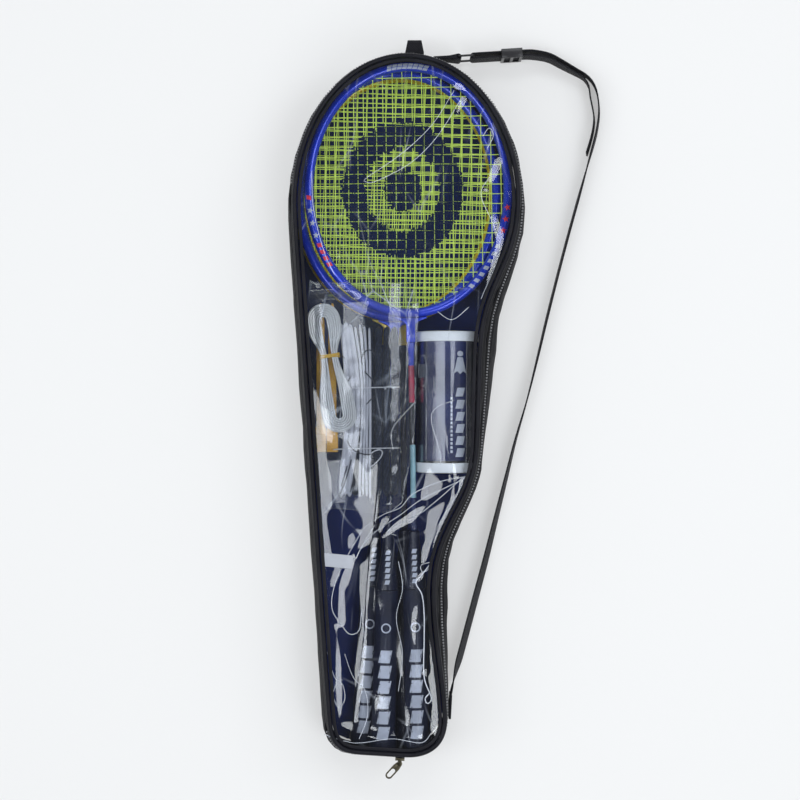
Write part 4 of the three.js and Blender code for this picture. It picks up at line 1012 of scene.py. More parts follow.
def strap_points(route, side, settings):
    """The strap's path: out of the slider on one side of the straight stretch, then along its route."""
    ring_wire = 0.0013
    slider_middle = 0.046
    straight = 0.0135
    line = strap_line()
    layer = ring_wire + GAP + settings.thickness / 2
    heel = middle_of("strap_bottom_tab").x - 0.0023
    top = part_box("front_piping")[1].y - 0.0032
    middle = settings.width / 2 + 0.0004
    start = slider_middle + GAP
    points = [line @ Vector((x, side * layer, 0)) for x in (start, start + straight)]
    for x, drop, lift in route:
        points.append(Vector((heel + x * MM, top - drop * MM, middle + lift * MM)))
    return points


def smooth_line(points, step):
    """A smooth line through the points, as evenly spaced points."""
    fine = []
    last = len(points) - 1
    for i in range(last):
        a, b = points[max(i - 1, 0)], points[i]
        c, d = points[i + 1], points[min(i + 2, last)]
        for k in range(12):
            t = k / 12
            fine.append(
                0.5
                * (
                    2 * b
                    + (c - a) * t
                    + (2 * a - 5 * b + 4 * c - d) * t * t
                    + (3 * b - a - 3 * c + d) * t * t * t
                )
            )
    fine.append(points[last])
    return resampled(fine, step, False)


def tapered(band):
    """Draws in the outer end of the hanging loop."""
    low = min(v.co.y for v in band.data.vertices)
    high = max(v.co.y for v in band.data.vertices)
    centre = sum(v.co.x for v in band.data.vertices) / len(band.data.vertices)
    for v in band.data.vertices:
        v.co.x = centre + (v.co.x - centre) * (1 - 0.26 * smoothstep(low, high, v.co.y))


def long_roll(share):
    """The long strap leans a little at the corner, then more and more towards its lower end."""
    corner = math.radians(9) * smoothstep(0.94, 0.86, share) * smoothstep(0.70, 0.80, share)
    lower = math.radians(21) * smoothstep(0.55, 0.12, share) * smoothstep(0.0, 0.05, share)
    return -corner - lower


def tail_roll(share):
    return math.radians(9) * smoothstep(0.30, 0.60, share)


def make_strap(settings):
    webbing = webbing_finish(settings.webbing)
    for node, corner in (
        ("strap_loop", 0.00035),
        ("strap_top_tab", 0.00035),
        ("strap_bottom_tab", 0.00035),
        ("hanging_loop", 0.0022),
    ):
        band = bevelled_copy(node, corner, 3)
        if node == "hanging_loop":
            tapered(band)
        finish(band, node + "_webbing", "bag", "webbing", webbing, [node], 40)
    plastic = moulded("black_buckle_plastic", (0.012, 0.011, 0.013), 0.36, 0.2)
    ring = copy_of("strap_ring")
    modifier(ring, "SUBSURF", levels=2, render_levels=2)
    finish(ring, "strap_ring_moulded", "bag", "strap_plastic", plastic, ["strap_ring"], 80)
    slider = bevelled_copy("strap_slider", 0.0004)
    finish(slider, "strap_slider_moulded", "strap_slider", "strap_plastic", plastic, ["strap_slider"], 40)
    section = rounded_section(settings.thickness, settings.width, settings.thickness * 0.45, 2)
    long_path = smooth_line(strap_points(STRAP_ROUTE, 1, settings), 0.005)[::-1]
    tail_path = smooth_line(strap_points(TAIL_ROUTE, -1, settings), 0.005)
    on_strap = ("strap_loop_webbing", "strap_ring_moulded", "strap_slider_moulded")
    for name, node, path, roll, far, carried in (
        ("strap_long_webbing", "shoulder_strap", long_path, long_roll, "object", on_strap),
        ("strap_tail_webbing", "strap_tail", tail_path, tail_roll, "bare", ()),
    ):
        strap = ribbon(path, section, roll=roll)
        finish(strap, name, "bag", "webbing", webbing, [node], 50)
        tuple(path[0])
        sum((b - a).length for a, b in zip(path, path[1:]))
        [tuple(p) for p in path]
        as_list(carried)


# ---------------------------------------------------------------- rackets


def racket_place(number, settings):
    """The racket's own frame: its head's middle, with the grip down -Y."""
    head = middle_of(f"racket_{number}_rim")
    reach = middle_of(f"racket_{number}_shaft") - head
    yaw = math.atan2(reach.x, -reach.y)
    pitch = math.atan2(-reach.z, math.hypot(reach.x, reach.y))
    return Matrix.Translation(head) @ Matrix.Rotation(yaw, 4, "Z") @ Matrix.Rotation(pitch, 4, "X")


UPRIGHT = Matrix.Rotation(math.radians(-90), 4, "X")
THROAT_LENGTH = 0.024
CONE_LENGTH = 0.056
GRIP_LENGTH = 0.158
PRINT_ABOVE = 0.03


def make_rim(number, at, settings, paint):
    """A round tube bent into a closed oval."""
    radius = settings.rim_diameter / 2
    half_w = settings.half_width - radius
    half_h = settings.half_height - radius
    turns = [2 * math.pi * i / 96 for i in range(96)]
    points = [Vector((half_w * math.cos(turn), half_h * math.sin(turn), 0)) for turn in turns]
    rim = as_mesh(tube_along(points, radius * 0.985, True, 4, "POLY"))
    place(rim, at)
    face_out(rim)
    finish(rim, f"racket_{number}_rim_tube", "bag", paint[0], paint[1], [f"racket_{number}_rim"], 60)
    return rim


def make_string_bed(number, at, settings, string_material):
    """Mains and crosses that pass over and under each other, ending in the rim."""
    half_w = settings.half_width - settings.rim_diameter * 0.62
    half_h = settings.half_height - settings.rim_diameter * 0.62
    pitch = settings.string_pitch
    radius = settings.string_radius
    pieces = []
    for across in (True, False):
        limit, other = (half_h, half_w) if across else (half_w, half_h)
        count = int(limit / pitch)
        for k in range(-count, count):
            level = (k + 0.5) * pitch
            end = other * math.sqrt(max(0.0, 1 - (level / limit) ** 2))
            if end < 0.012:
                continue
            knots = int(end / pitch)
            spots = [-end] + [(j + 0.5) * pitch for j in range(-knots, knots)] + [end]
            points = []
            for j, s in enumerate(spots):
                sway = radius * 0.95 * (1 if (j + k) % 2 else -1) * (1 if across else -1)
                rise = 0.0 if j in (0, len(spots) - 1) else sway
                points.append((s, level, rise) if across else (level, s, rise))
            pieces.append(tube_along(points, radius, False, 0, "POLY"))
    bed = joined("bed", pieces)
    bed = as_mesh(bed)
    place(bed, at)
    face_out(bed, 0.000001)
    node = f"racket_{number}_string"
    finish(bed, node + "_weave", "bag", "strings", string_material, [node + "s"], 60)


def make_throat(number, paint):
    node = f"racket_{number}_throat"
    throat = bevelled_copy(node, 0.0011, 3)
    finish(throat, node + "_joint", "bag", paint[0], paint[1], [node], 40)


def make_shaft(number, at, settings, slot, shaft_material):
    throat_end = -settings.half_height - THROAT_LENGTH - GAP
    cone_top = settings.half_height - settings.overall + GRIP_LENGTH + CONE_LENGTH + GAP
    radius = 0.0029
    shaft = turned(
        [
            (radius, cone_top),
            (radius * 1.25, cone_top + 0.001),
            (radius * 1.25, cone_top + 0.006),
            (radius, cone_top + 0.007),
            (radius, throat_end - 0.010),
            (radius * 1.2, throat_end - 0.008),
            (radius * 1.2, throat_end),
        ],
        20,
    )
    place(shaft, at @ UPRIGHT)
    node = f"racket_{number}_shaft"
    finish(shaft, node + "_tube", "bag", slot, shaft_material, [node], 40)


def make_cone(number, at, settings, cone_material):
    """A cap that narrows from the grip to the shaft on an eased curve, with a small lip."""
    wide, narrow, lip = 0.0112, 0.0053, 0.0046
    grip_top = settings.half_height - settings.overall + GRIP_LENGTH
    rings = []
    for i in range(9):
        share = i / 8
        radius = wide + (narrow - wide) * smoothstep(0, 1, share) ** 0.8
        rings.append((radius, grip_top + 0.0004 + CONE_LENGTH * share * 0.98))
    rings.append((lip, grip_top + CONE_LENGTH))
    cone = turned(rings, 28)
    place(cone, at @ UPRIGHT)
    node = f"racket_{number}_cone"
    finish(cone, node + "_cap", "bag", "cone_plastic", cone_material, [node], 40)


def make_grip(number, at, settings, grip_material):
    """An eight-sided handle under tape wound in a spiral, with a flared butt and a collar."""
    flat_radius, butt_radius, foot_radius, collar_radius = 0.01215, 0.0137, 0.0122, 0.0119
    lap_height = 0.00055
    turn_pitch = 0.024
    butt = settings.half_height - settings.overall

    def radius_at(angle, y):
        flat = math.cos(math.pi / 8) / math.cos(((angle + math.pi / 8) % (math.pi / 4)) - math.pi / 8)
        radius = flat_radius * (0.35 + 0.65 * flat)
        lap = ((y / turn_pitch) + angle / (2 * math.pi)) % 1.0
        radius += lap_height * (1 - lap) * smoothstep(0.0, 0.06, lap)
        flare = smoothstep(0.024, 0.006, y)
        radius = radius * (1 - flare) + butt_radius * flare
        if y > GRIP_LENGTH - 0.010:
            radius = collar_radius
        if y < 0.002:
            radius = foot_radius
        return radius

    columns, rows = 48, 120
    work = bmesh.new()
    rings = []
    for j in range(rows + 1):
        y = GRIP_LENGTH * j / rows
        ring = []
        for i in range(columns):
            angle = 2 * math.pi * i / columns
            r = radius_at(angle, y)
            ring.append(work.verts.new((r * math.cos(angle), butt + y, r * math.sin(angle))))
        rings.append(ring)
    for low, high in zip(rings, rings[1:]):
        for i in range(columns):
            k = (i + 1) % columns
            work.faces.new((low[i], high[i], high[k], low[k]))
    work.faces.new(rings[0])
    work.faces.new(rings[-1][::-1])
    bmesh.ops.recalc_face_normals(work, faces=work.faces)
    grip = from_work("grip", work)
    place(grip, at)
    node = f"racket_{number}_grip"
    return finish(grip, node + "_tape", "bag", "grip_tape", grip_material, [node], 50)


def mark(outline, at):
    """A flat printed mark, cut into small faces so that it can bend over a round piece."""
    work = bmesh.new()
    verts = [work.verts.new((x, y, 0)) for x, y in outline]
    work.faces.new(verts)
    bmesh.ops.triangulate(work, faces=work.faces)
    bmesh.ops.subdivide_edges(work, edges=work.edges, cuts=2, use_grid_fill=True)
    obj = from_work("mark", work)
    place(obj, at)
    return obj


def mark_bar(width, tall, slant, at):
    """A slanting printed bar, cut finely enough to bend over a round piece."""
    obj = grid_mesh(
        "mark", 8, 6, lambda u, v: Vector(((u - 0.5) * width + (2 * v - 1) * slant, (v - 0.5) * tall, 0))
    )
    place(obj, at)
    return obj


def star(radius):
    points = []
    for i in range(10):
        reach = radius if i % 2 == 0 else radius * 0.42
        turn = math.radians(90 + 36 * i)
        points.append((reach * math.cos(turn), reach * math.sin(turn)))
    return points


def bar(width, tall, slant=0.0):
    return [
        (-width / 2 - slant, -tall / 2),
        (width / 2 - slant, -tall / 2),
        (width / 2 + slant, tall / 2),
        (-width / 2 + slant, tall / 2),
    ]


def printed(name, marks, target, slot, print_material, body="bag"):
    """Lays a group of marks on a piece from above."""
    whole = joined(name, marks)
    modifier(
        whole,
        "SHRINKWRAP",
        target=target,
        wrap_method="PROJECT",
        use_project_z=True,
        use_negative_direction=True,
        use_positive_direction=False,
        offset=0.00012,
    )
    modifier(whole, "SOLIDIFY", thickness=0.00006, offset=1)
    finish(whole, name, body, slot, print_material, (), 80)


def rim_marks(number, at, settings, rim, white, red):
    """Plain bars and stars on the rim's front."""
    radius = settings.rim_diameter / 2
    above = 0.012

    def on_rim(degrees, shape):
        turn = math.radians(degrees)
        a, b = settings.half_width - radius, settings.half_height - radius
        x, y = a * math.cos(turn), b * math.sin(turn)
        heading = math.atan2(b * math.cos(turn), -a * math.sin(turn))
        spot = Matrix.Translation((x, y, above)) @ Matrix.Rotation(heading, 4, "Z")
        return mark(shape, at @ spot)

    whites = [on_rim(d, bar(0.0045, 0.0052, 0.0008)) for d in range(79, 103, 3)]
    whites += [on_rim(d, star(0.0034)) for d in (189, 195, 201)]
    whites += [on_rim(d, bar(0.0038, 0.0044, -0.0006)) for d in range(-52, -26, 4)]
    reds = [on_rim(d, star(0.0034)) for d in (-9, -14.5, -20)]
    reds += [on_rim(d, bar(0.0042, 0.0044, 0.0006)) for d in (206, 209.5, 213, 216.5, 183)]
    printed(f"racket_{number}_white_marks", whites, rim, "blue_paint", white)
    printed(f"racket_{number}_red_marks", reds, rim, "blue_paint", red)


def grip_marks(number, at, settings, grip, white):
    """A ring, and a column of slanting bars, printed along the grip's front."""
    butt = settings.half_height - settings.overall
    marks = []
    for k in range(6):
        y = butt + 0.018 + k * 0.0150
        marks.append(mark_bar(0.0112, 0.0124, 0.0012, at @ Matrix.Translation((0.0, y, PRINT_ABOVE))))
    ring_radius = 0.0042
    ring_y = butt + 0.121
    for k in range(16):
        turn = math.radians(22.5 * k)
        x, y = ring_radius * math.cos(turn), ring_y + ring_radius * math.sin(turn)
        spot = Matrix.Translation((x, y, PRINT_ABOVE)) @ Matrix.Rotation(turn + math.pi / 2, 4, "Z")
        marks.append(mark(bar(0.0017, 0.0013), at @ spot))
    printed(f"racket_{number}_grip_marks", marks, grip, "grip_tape", white)


def cone_marks(number, at, settings, white):
    butt = settings.half_height - settings.overall
    cone = bpy.data.objects[f"racket_{number}_cone_cap"]
    marks = []
    for k in range(6):
        y = butt + 0.166 + k * 0.0058
        marks.append(mark_bar(0.0044, 0.0042, 0.0006, at @ Matrix.Translation((0.0, y, PRINT_ABOVE))))
    printed(f"racket_{number}_cone_marks", marks, cone, "cone_plastic", white)


def make_rackets(settings):
    front = ("blue_paint", lacquer("blue_lacquer", settings.front_paint))
    back = ("gold_paint", lacquer("gold_lacquer", settings.back_paint))
    cone_material = moulded("dark_cone_plastic", (0.008, 0.011, 0.030), 0.32, 0.2)
    grip_material = rubbery("dark_grip_tape", (0.010, 0.014, 0.040), 0.5)
    white = moulded("white_print", (0.46, 0.50, 0.60), 0.5, wear=0.2)
    red = moulded("red_print", (0.75, 0.03, 0.05), 0.45, wear=0.15)
    head = middle_of("racket_1_rim")
    painted_at = (head.x - 0.006, head.y + 0.002)
    plain = string_finish("bright_string", settings.strings)
    stencilled = string_finish("stencilled_string", settings.strings, settings.stencil, painted_at)
    pale = (0.30, 0.52, 0.60)
    black = (0.010, 0.011, 0.016)
    pink = (0.60, 0.03, 0.09)
    blue = settings.front_paint
    first_shaft = banded_paint(
        "banded_blue_shaft",
        [(-0.090, (0.02, 0.03, 0.10)), (-0.038, pale), (0.004, black), (0.040, pink), (1.0, blue)],
    )
    other_shaft = banded_paint("banded_second_shaft", [(-0.060, (0.01, 0.015, 0.05)), (1.0, blue)])
    gold_bands = [(-0.060, (0.012, 0.012, 0.03)), (1.0, (0.02, 0.02, 0.05))]
    gold_shaft = banded_paint("banded_gold_shaft", gold_bands)
    for number in (1, 2, 3, 4):
        at = racket_place(number, settings)
        paint = front if number < 3 else back
        rim = make_rim(number, at, settings, paint)
        make_string_bed(number, at, settings, stencilled if number < 4 else plain)
        make_throat(number, paint)
        shaft_material = {1: first_shaft, 2: other_shaft}.get(number, gold_shaft)
        make_shaft(number, at, settings, "blue_paint" if number < 3 else "gold_shaft", shaft_material)
        make_cone(number, at, settings, cone_material)
        grip = make_grip(number, at, settings, grip_material)
        if number == 1:
            rim_marks(number, at, settings, rim, white, red)
        if number < 4:
            grip_marks(number, at, settings, grip, white)
            cone_marks(number, at, settings, white)


# ---------------------------------------------------------------- shuttle tube


def make_tube(settings):
    low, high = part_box("tube_wall")
    middle = (low + high) / 2
    at = Matrix.Translation((middle.x, 0, middle.z)) @ UPRIGHT
    clear = clear_film("tube_clear_plastic", (0.985, 0.99, 1.0), 0.01, 0.012, 0.15, 0.0, 0.08)
    wall = turned([(settings.radius, low.y), (settings.radius, high.y)], 72, False)
    modifier(wall, "SOLIDIFY", thickness=settings.wall, offset=-1)
    place(wall, at)
    finish(wall, "tube_clear_wall", "bag", "tube_plastic", clear, ["tube_wall"], 60)
    make_sleeve(settings, middle, low.y, high.y)
    milky = moulded("milky_cap_plastic", (0.72, 0.76, 0.80), 0.32, 0.3, wear=0.08)
    for node, body, side in (("tube_top_cap", "tube_cap", 1), ("tube_bottom_cap", "bag", -1)):
        cap_low, cap_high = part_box(node)
        outer = (cap_high.x - cap_low.x) / 2
        end, lip = (cap_high.y, cap_low.y) if side > 0 else (cap_low.y, cap_high.y)
        cap = turned(
            [
                (outer, lip),
                (outer, end - side * 0.0022),
                (outer - 0.0006, end - side * 0.0007),
                (outer - 0.0022, end),
                (outer - 0.006, end),
                (outer - 0.0072, end - side * 0.0008),
                (0.0004, end - side * 0.0008),
            ],
            72,
            False,
        )
        face_out(cap)
        modifier(cap, "SOLIDIFY", thickness=0.0006, offset=-1)
        place(cap, at)
        finish(cap, node + "_milky", body, "cap_plastic", milky, [node], 40)
    make_shuttles(middle, at)


def make_sleeve(settings, middle, low, high):
    """A printed sleeve curled inside the tube, with an icon and bars in place of words."""
    radius = settings.radius - settings.wall - 0.0006
    start, stop = math.radians(-20), math.radians(164)
    ink = Finish("printed_sleeve", settings.print_colour, 0.4, coat_weight=0.4)
    cloud = ink.noise(20, 3.0)
    lighter = darker(settings.print_colour, 2.2)
    ink.link(ink.blend(ink.spread(cloud, 0.3, 0.7), settings.print_colour, lighter), "Base Color")
    ink.link(ink.bump(ink.noise(60), 0.2, 0.0006), "Normal")

    def spot(u, v):
        angle = start + (stop - start) * u
        y = low + 0.010 + (high - low - 0.018) * v
        return Vector((middle.x + radius * math.cos(angle), y, middle.z + radius * math.sin(angle)))

    sleeve = grid_mesh("sleeve", 48, 40, spot)
    modifier(sleeve, "SOLIDIFY", thickness=0.0003, offset=0)
    finish(sleeve, "tube_printed_sleeve", "bag", "tube_plastic", ink.material, (), 60)
    white = moulded("sleeve_white_ink", (0.60, 0.64, 0.72), 0.5, wear=0.1)
    top = high - 0.012
    over = Matrix.Translation((middle.x + 0.0125, 0, middle.z + 0.045))
    printed("tube_sleeve_marks", sleeve_marks(over, top), sleeve, "tube_plastic", white)


def sleeve_marks(over, top):
    """A shuttle icon, an oval of short dashes, a column of large bars and one of small bars."""

    def at(x, y):
        return over @ Matrix.Translation((x, y, 0))

    right = [(0.0026, 0.010), (0.0062, -0.006), (0.0030, -0.0035)]
    feathers = [(-0.0026, 0.010), *right, (0, -0.0065), (-0.0030, -0.0035), (-0.0062, -0.006)]
    marks = [mark(feathers, at(0, top - 0.022))]
    turns = [math.radians(a) for a in range(0, 360, 30)]
    nose = [(0.0030 * math.cos(turn), 0.0028 * math.sin(turn)) for turn in turns]
    marks.append(mark(nose, at(0, top - 0.0085)))
    oval_w, oval_h = 0.0038, 0.0150
    for k in range(24):
        turn = 2 * math.pi * k / 24
        spot = at(-0.0365 + oval_w * math.cos(turn), top - 0.0250 + oval_h * math.sin(turn))
        heading = math.atan2(oval_h * math.cos(turn), -oval_w * math.sin(turn))
        marks.append(mark(bar(0.0042, 0.0011), spot @ Matrix.Rotation(heading, 4, "Z")))
    for k in range(6):
        marks.append(mark(bar(0.0075, 0.0085, 0.001), at(0, top - 0.046 - k * 0.0118)))
    for k in range(14):
        marks.append(mark(bar(0.0022, 0.0026), at(-0.0085, top - 0.052 - k * 0.0040)))
    return marks


def make_shuttles(middle, at):
    cork = Finish("cork_foam", (0.74, 0.70, 0.58), 0.75)
    specks = cork.add("ShaderNodeTexVoronoi", Vector=cork.where, Scale=420).outputs["Distance"]
    cork.link(cork.blend(cork.spread(specks, 0.1, 0.6), (0.50, 0.44, 0.30), (0.78, 0.74, 0.62)), "Base Color")
    cork.link(cork.bump(specks, 0.4, 0.0005), "Normal")
    nylon = moulded("white_skirt_nylon", (0.70, 0.73, 0.74), 0.42, 0.1, wear=0.08)
    band_green = moulded("shuttle_band", (0.02, 0.25, 0.10), 0.4)
    for n in (1, 2, 3):
        low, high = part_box(f"shuttle_{n}_cork")
        radius = (high.x - low.x) / 2
        nose, back = low.y, high.y
        rings = []
        for i in range(9):
            turn = math.radians(4 + 86 * i / 8)
            rings.append((radius * math.sin(turn), nose + radius * 0.8 * (1 - math.cos(turn))))
        rings += [(radius, back - 0.0008), (radius - 0.0008, back)]
        ball = turned(rings, 40)
        place(ball, at)
        finish(ball, f"shuttle_{n}_cork_ball", "bag", "cork", cork.material, [f"shuttle_{n}_cork"], 40)
        stripe = turned([(radius + 0.0001, back - 0.0058), (radius + 0.0001, back - 0.0008)], 40, False)
        modifier(stripe, "SOLIDIFY", thickness=0.0003, offset=0)
        place(stripe, at)
        finish(stripe, f"shuttle_{n}_stripe", "bag", "skirt", band_green, (), 60)
        make_skirt(n, at, nylon)


def make_skirt(n, at, nylon):
    """An openwork skirt: sixteen ribs joined by rings, with a thicker ring at each end."""
    rings = [(0.02, 0.0008), (0.985, 0.0007)] + [(share, 0.0005) for share in (0.22, 0.36, 0.50, 0.66, 0.82)]
    low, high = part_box(f"shuttle_{n}_skirt")
    wide = (high.x - low.x) / 2 - 0.0004
    narrow = 0.0126
    start, end = low.y, high.y
    count = 16

    def on_cone(share, angle, lift=0.0):
        radius = narrow + (wide - narrow) * share + lift
        return Vector((radius * math.cos(angle), radius * math.sin(angle), start + (end - start) * share))

    ribs = []
    for k in range(count):
        angle = 2 * math.pi * k / count
        ribs.append(tube_along([on_cone(s / 6, angle) for s in range(7)], 0.00062, False, 0, "POLY"))
    for share, thick in rings:
        ring = [on_cone(share, 2 * math.pi * i / 48) for i in range(48)]
        ribs.append(tube_along(ring, thick, True, 0, "POLY"))
    whole = closed_ends(as_mesh(joined("skirt", ribs)))
    place(whole, at)
    face_out(whole, 0.000001)
    finish(whole, f"shuttle_{n}_skirt_ribs", "bag", "skirt", nylon, [f"shuttle_{n}_skirt"], 60)


# ---------------------------------------------------------------- net pack


def make_net_bundle():
    """A folded stack of black netting: rounded folds side by side."""
    low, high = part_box("net_bundle")
    netting = knotted_net("black_netting", (0.007, 0.011, 0.028))
    step = 0.0078
    low_fold, high_fold = 0.0112, 0.0172
    higher_from = (low.x + high.x) / 2 + 0.004
    folds = []
    for k in range(int((high.x - low.x) / step)):
        x = low.x + step * (k + 0.5)
        height = high_fold if x > higher_from else low_fold
        points = []
        for i in range(13):
            y = high.y - 0.003 - (high.y - low.y - 0.006) * i / 12
            sway = 0.0008 * noise.noise(Vector((k * 3.1, y * 22, 0.5)))
            points.append(Vector((x + sway, y, low.z + height / 2)))
        folds.append(ribbon(points, rounded_section(step * 0.96, height - 0.0008, step * 0.42, 3)))
    bundle = joined("net", folds)
    modifier(bundle, "SUBSURF", levels=1, render_levels=1)
    finish(bundle, "net_folded_mesh", "bag", "net_mesh", netting, ["net_bundle"], 60)


def make_net_tapes(settings):
    """Stacks of white tape: narrow folds side by side, each following its stack's bend."""
    cloth = woven("white_net_tape", settings.tape, 1300, 0.85, 0.82, 0.2, 30)
    for node, count in (("net_tape_left", 3), ("net_tape_right", 4)):
        low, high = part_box(node)
        left = node == "net_tape_left"
        folds = []
        for k in range(count):
            share = (k + 0.5) / count
            points = []
            for i in range(15):
                v = i / 14
                y = high.y - 0.001 - (high.y - low.y - 0.002) * v - 0.0016 * abs(k - 1)
                bow = math.sin(math.pi * min(1.0, v / 0.9))
                if left:
                    start, end = low.x + 0.0003 + bow * 0.0055, low.x + 0.0125 + bow * 0.0090
                else:
                    start, end = low.x + 0.0005 + bow * 0.0085, high.x - 0.0004
                    start += 0.0055 * smoothstep(0.55, 1.0, v)
                x = start + (end - start) * share
                wave = 0.0005 * noise.noise(Vector((k * 2.7 + low.x * 90, v * 7, 1.0)))
                points.append(Vector((x + wave, y, (low.z + high.z) / 2)))
                if i == 7:
                    width = (end - start) / count
            folds.append(ribbon(points, rounded_section(width * 0.97, 0.0053, width * 0.36, 3)))
        stack = joined("tape", folds)
        modifier(stack, "SUBSURF", levels=1, render_levels=1)
        finish(stack, node + "_folds", "bag", "net_tape", cloth, [node], 60)


def hank_frame():
    centre = middle_of("hank_band")
    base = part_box("rope_hank")[0].z
    return Matrix.Translation((centre.x, centre.y, base)) @ Matrix.Rotation(math.radians(9.5), 4, "Z")


def hank_route(diameter):
    """One rope wound end to end: nested turns in two layers, stacked higher where the band pinches them."""
    upper, lower = 0.0520, 0.0755
    nests, layers, steps = 6, 2, 72
    spacing = diameter * 1.12
    bend_start = 0.34
    points = []

    def on_turn(turn, share):
        layer, nest = divmod(turn, nests)
        if layer % 2:
            nest = nests - 1 - nest
        stray = 0.0004 * noise.noise(Vector((turn * 1.7, share * 5, 0.3)))
        inner = diameter / 2 + (nest + 0.5 * layer) * spacing + stray
        top = share < 0.5
        long, wide = (upper, 0.0165) if top else (lower, 0.0168)
        reach = wide - inner
        waist = 0.0082 - diameter / 2 - (nest // 2) * diameter * 1.05
        part = (share if top else share - 0.5) / 0.5
        straight = long - inner - reach
        if part < bend_start or part > 1 - bend_start:
            climb = (part if part < 0.5 else 1 - part) / bend_start
            opened = smoothstep(0.0, 0.75, climb)
            x = (waist + (reach - waist) * opened) * (1 if part < 0.5 else -1)
            y = straight * climb
        else:
            opened = 1.0
            turned_by = math.pi * (part - bend_start) / (1 - 2 * bend_start)
            x = reach * math.cos(turned_by)
            y = straight + reach * math.sin(turned_by)
        if not top:
            x, y = -x, -y
        flat = 0.0022 + layer * diameter * 1.15
        stacked = diameter / 2 + (2 * layer + nest % 2) * diameter * 0.96
        return Vector((x, y, stacked + (flat - stacked) * opened))

    for turn in range(nests * layers):
        following = min(turn + 1, nests * layers - 1)
        for i in range(steps):
            share = (i + 0.5) / steps
            change = smoothstep(0.86, 1.0, share)
            points.append(on_turn(turn, share).lerp(on_turn(following, share), change))
    return points


def make_rope(settings):
    at = hank_frame()
    diameter = settings.rope_diameter
    points = [at @ p for p in hank_route(diameter)]
    material = corded("white_guy_rope", settings.rope, 0.5)
    path = resampled(points, 0.0035, False)
    rope = tube_along(path, diameter / 2, False, 2, "POLY")
    rope = as_mesh(rope)
    face_out(rope, 0.000001)
    finish(rope, "guy_rope_hank", "bag", "rope", material, ["rope_hank"], 80)
    rubber = moulded("yellow_rubber_band", (0.72, 0.45, 0.05), 0.5, wear=0.2)
    low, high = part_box("hank_band")
    centre = (low + high) / 2
    half_w, half_h = 0.0097, (high.z - low.z) / 2 - 0.0005
    loops = []
    for k in (-1, 0, 1):
        ring = []
        for i in range(40):
            turn = 2 * math.pi * i / 40
            x = half_w * math.copysign(abs(math.cos(turn)) ** 0.6, math.cos(turn))
            z = half_h * math.copysign(abs(math.sin(turn)) ** 0.6, math.sin(turn))
            ring.append((x, k * 0.0014 + 0.0004 * math.sin(turn * 2 + k), z))
        loops.append(tube_along(ring, 0.00072, True, 1, "POLY"))
    band = as_mesh(joined("band", loops))
    place(band, Matrix.Translation(centre) @ Matrix.Rotation(math.radians(6), 4, "Z"))
    face_out(band, 0.000001)
    finish(band, "hank_rubber_band", "bag", "rubber_band", rubber, ["hank_band"], 80)


def make_pegs(settings):
    """Moulded pegs: a ribbed head, a collar and a tapered shank."""
    plastic = moulded("orange_peg_plastic", settings.pegs, 0.34, 0.25, wear=0.3)
    for number in (1, 2):
        node = f"peg_{number}"
        low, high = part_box(node)
        centre = (low + high) / 2
        body = bevelled_copy(node, 0.0008, 2)
        ribs = [body]
        for k in range(6):
            bpy.ops.object.select_all(action="DESELECT")
            place_at = (centre.x, low.y + 0.0030 + k * 0.0034, centre.z)
            bpy.ops.mesh.primitive_cube_add(size=0.001, location=place_at)
            rib = bpy.context.active_object
            rib.scale = (11.0, 1.3, 9.3)
            bpy.ops.object.transform_apply(location=True, scale=True)
            modifier(rib, "BEVEL", width=0.0004, segments=2)
            ribs.append(rib)
        peg = joined(node, ribs)
        finish(peg, node + "_moulded", "bag", "peg_plastic", plastic, [node], 40)


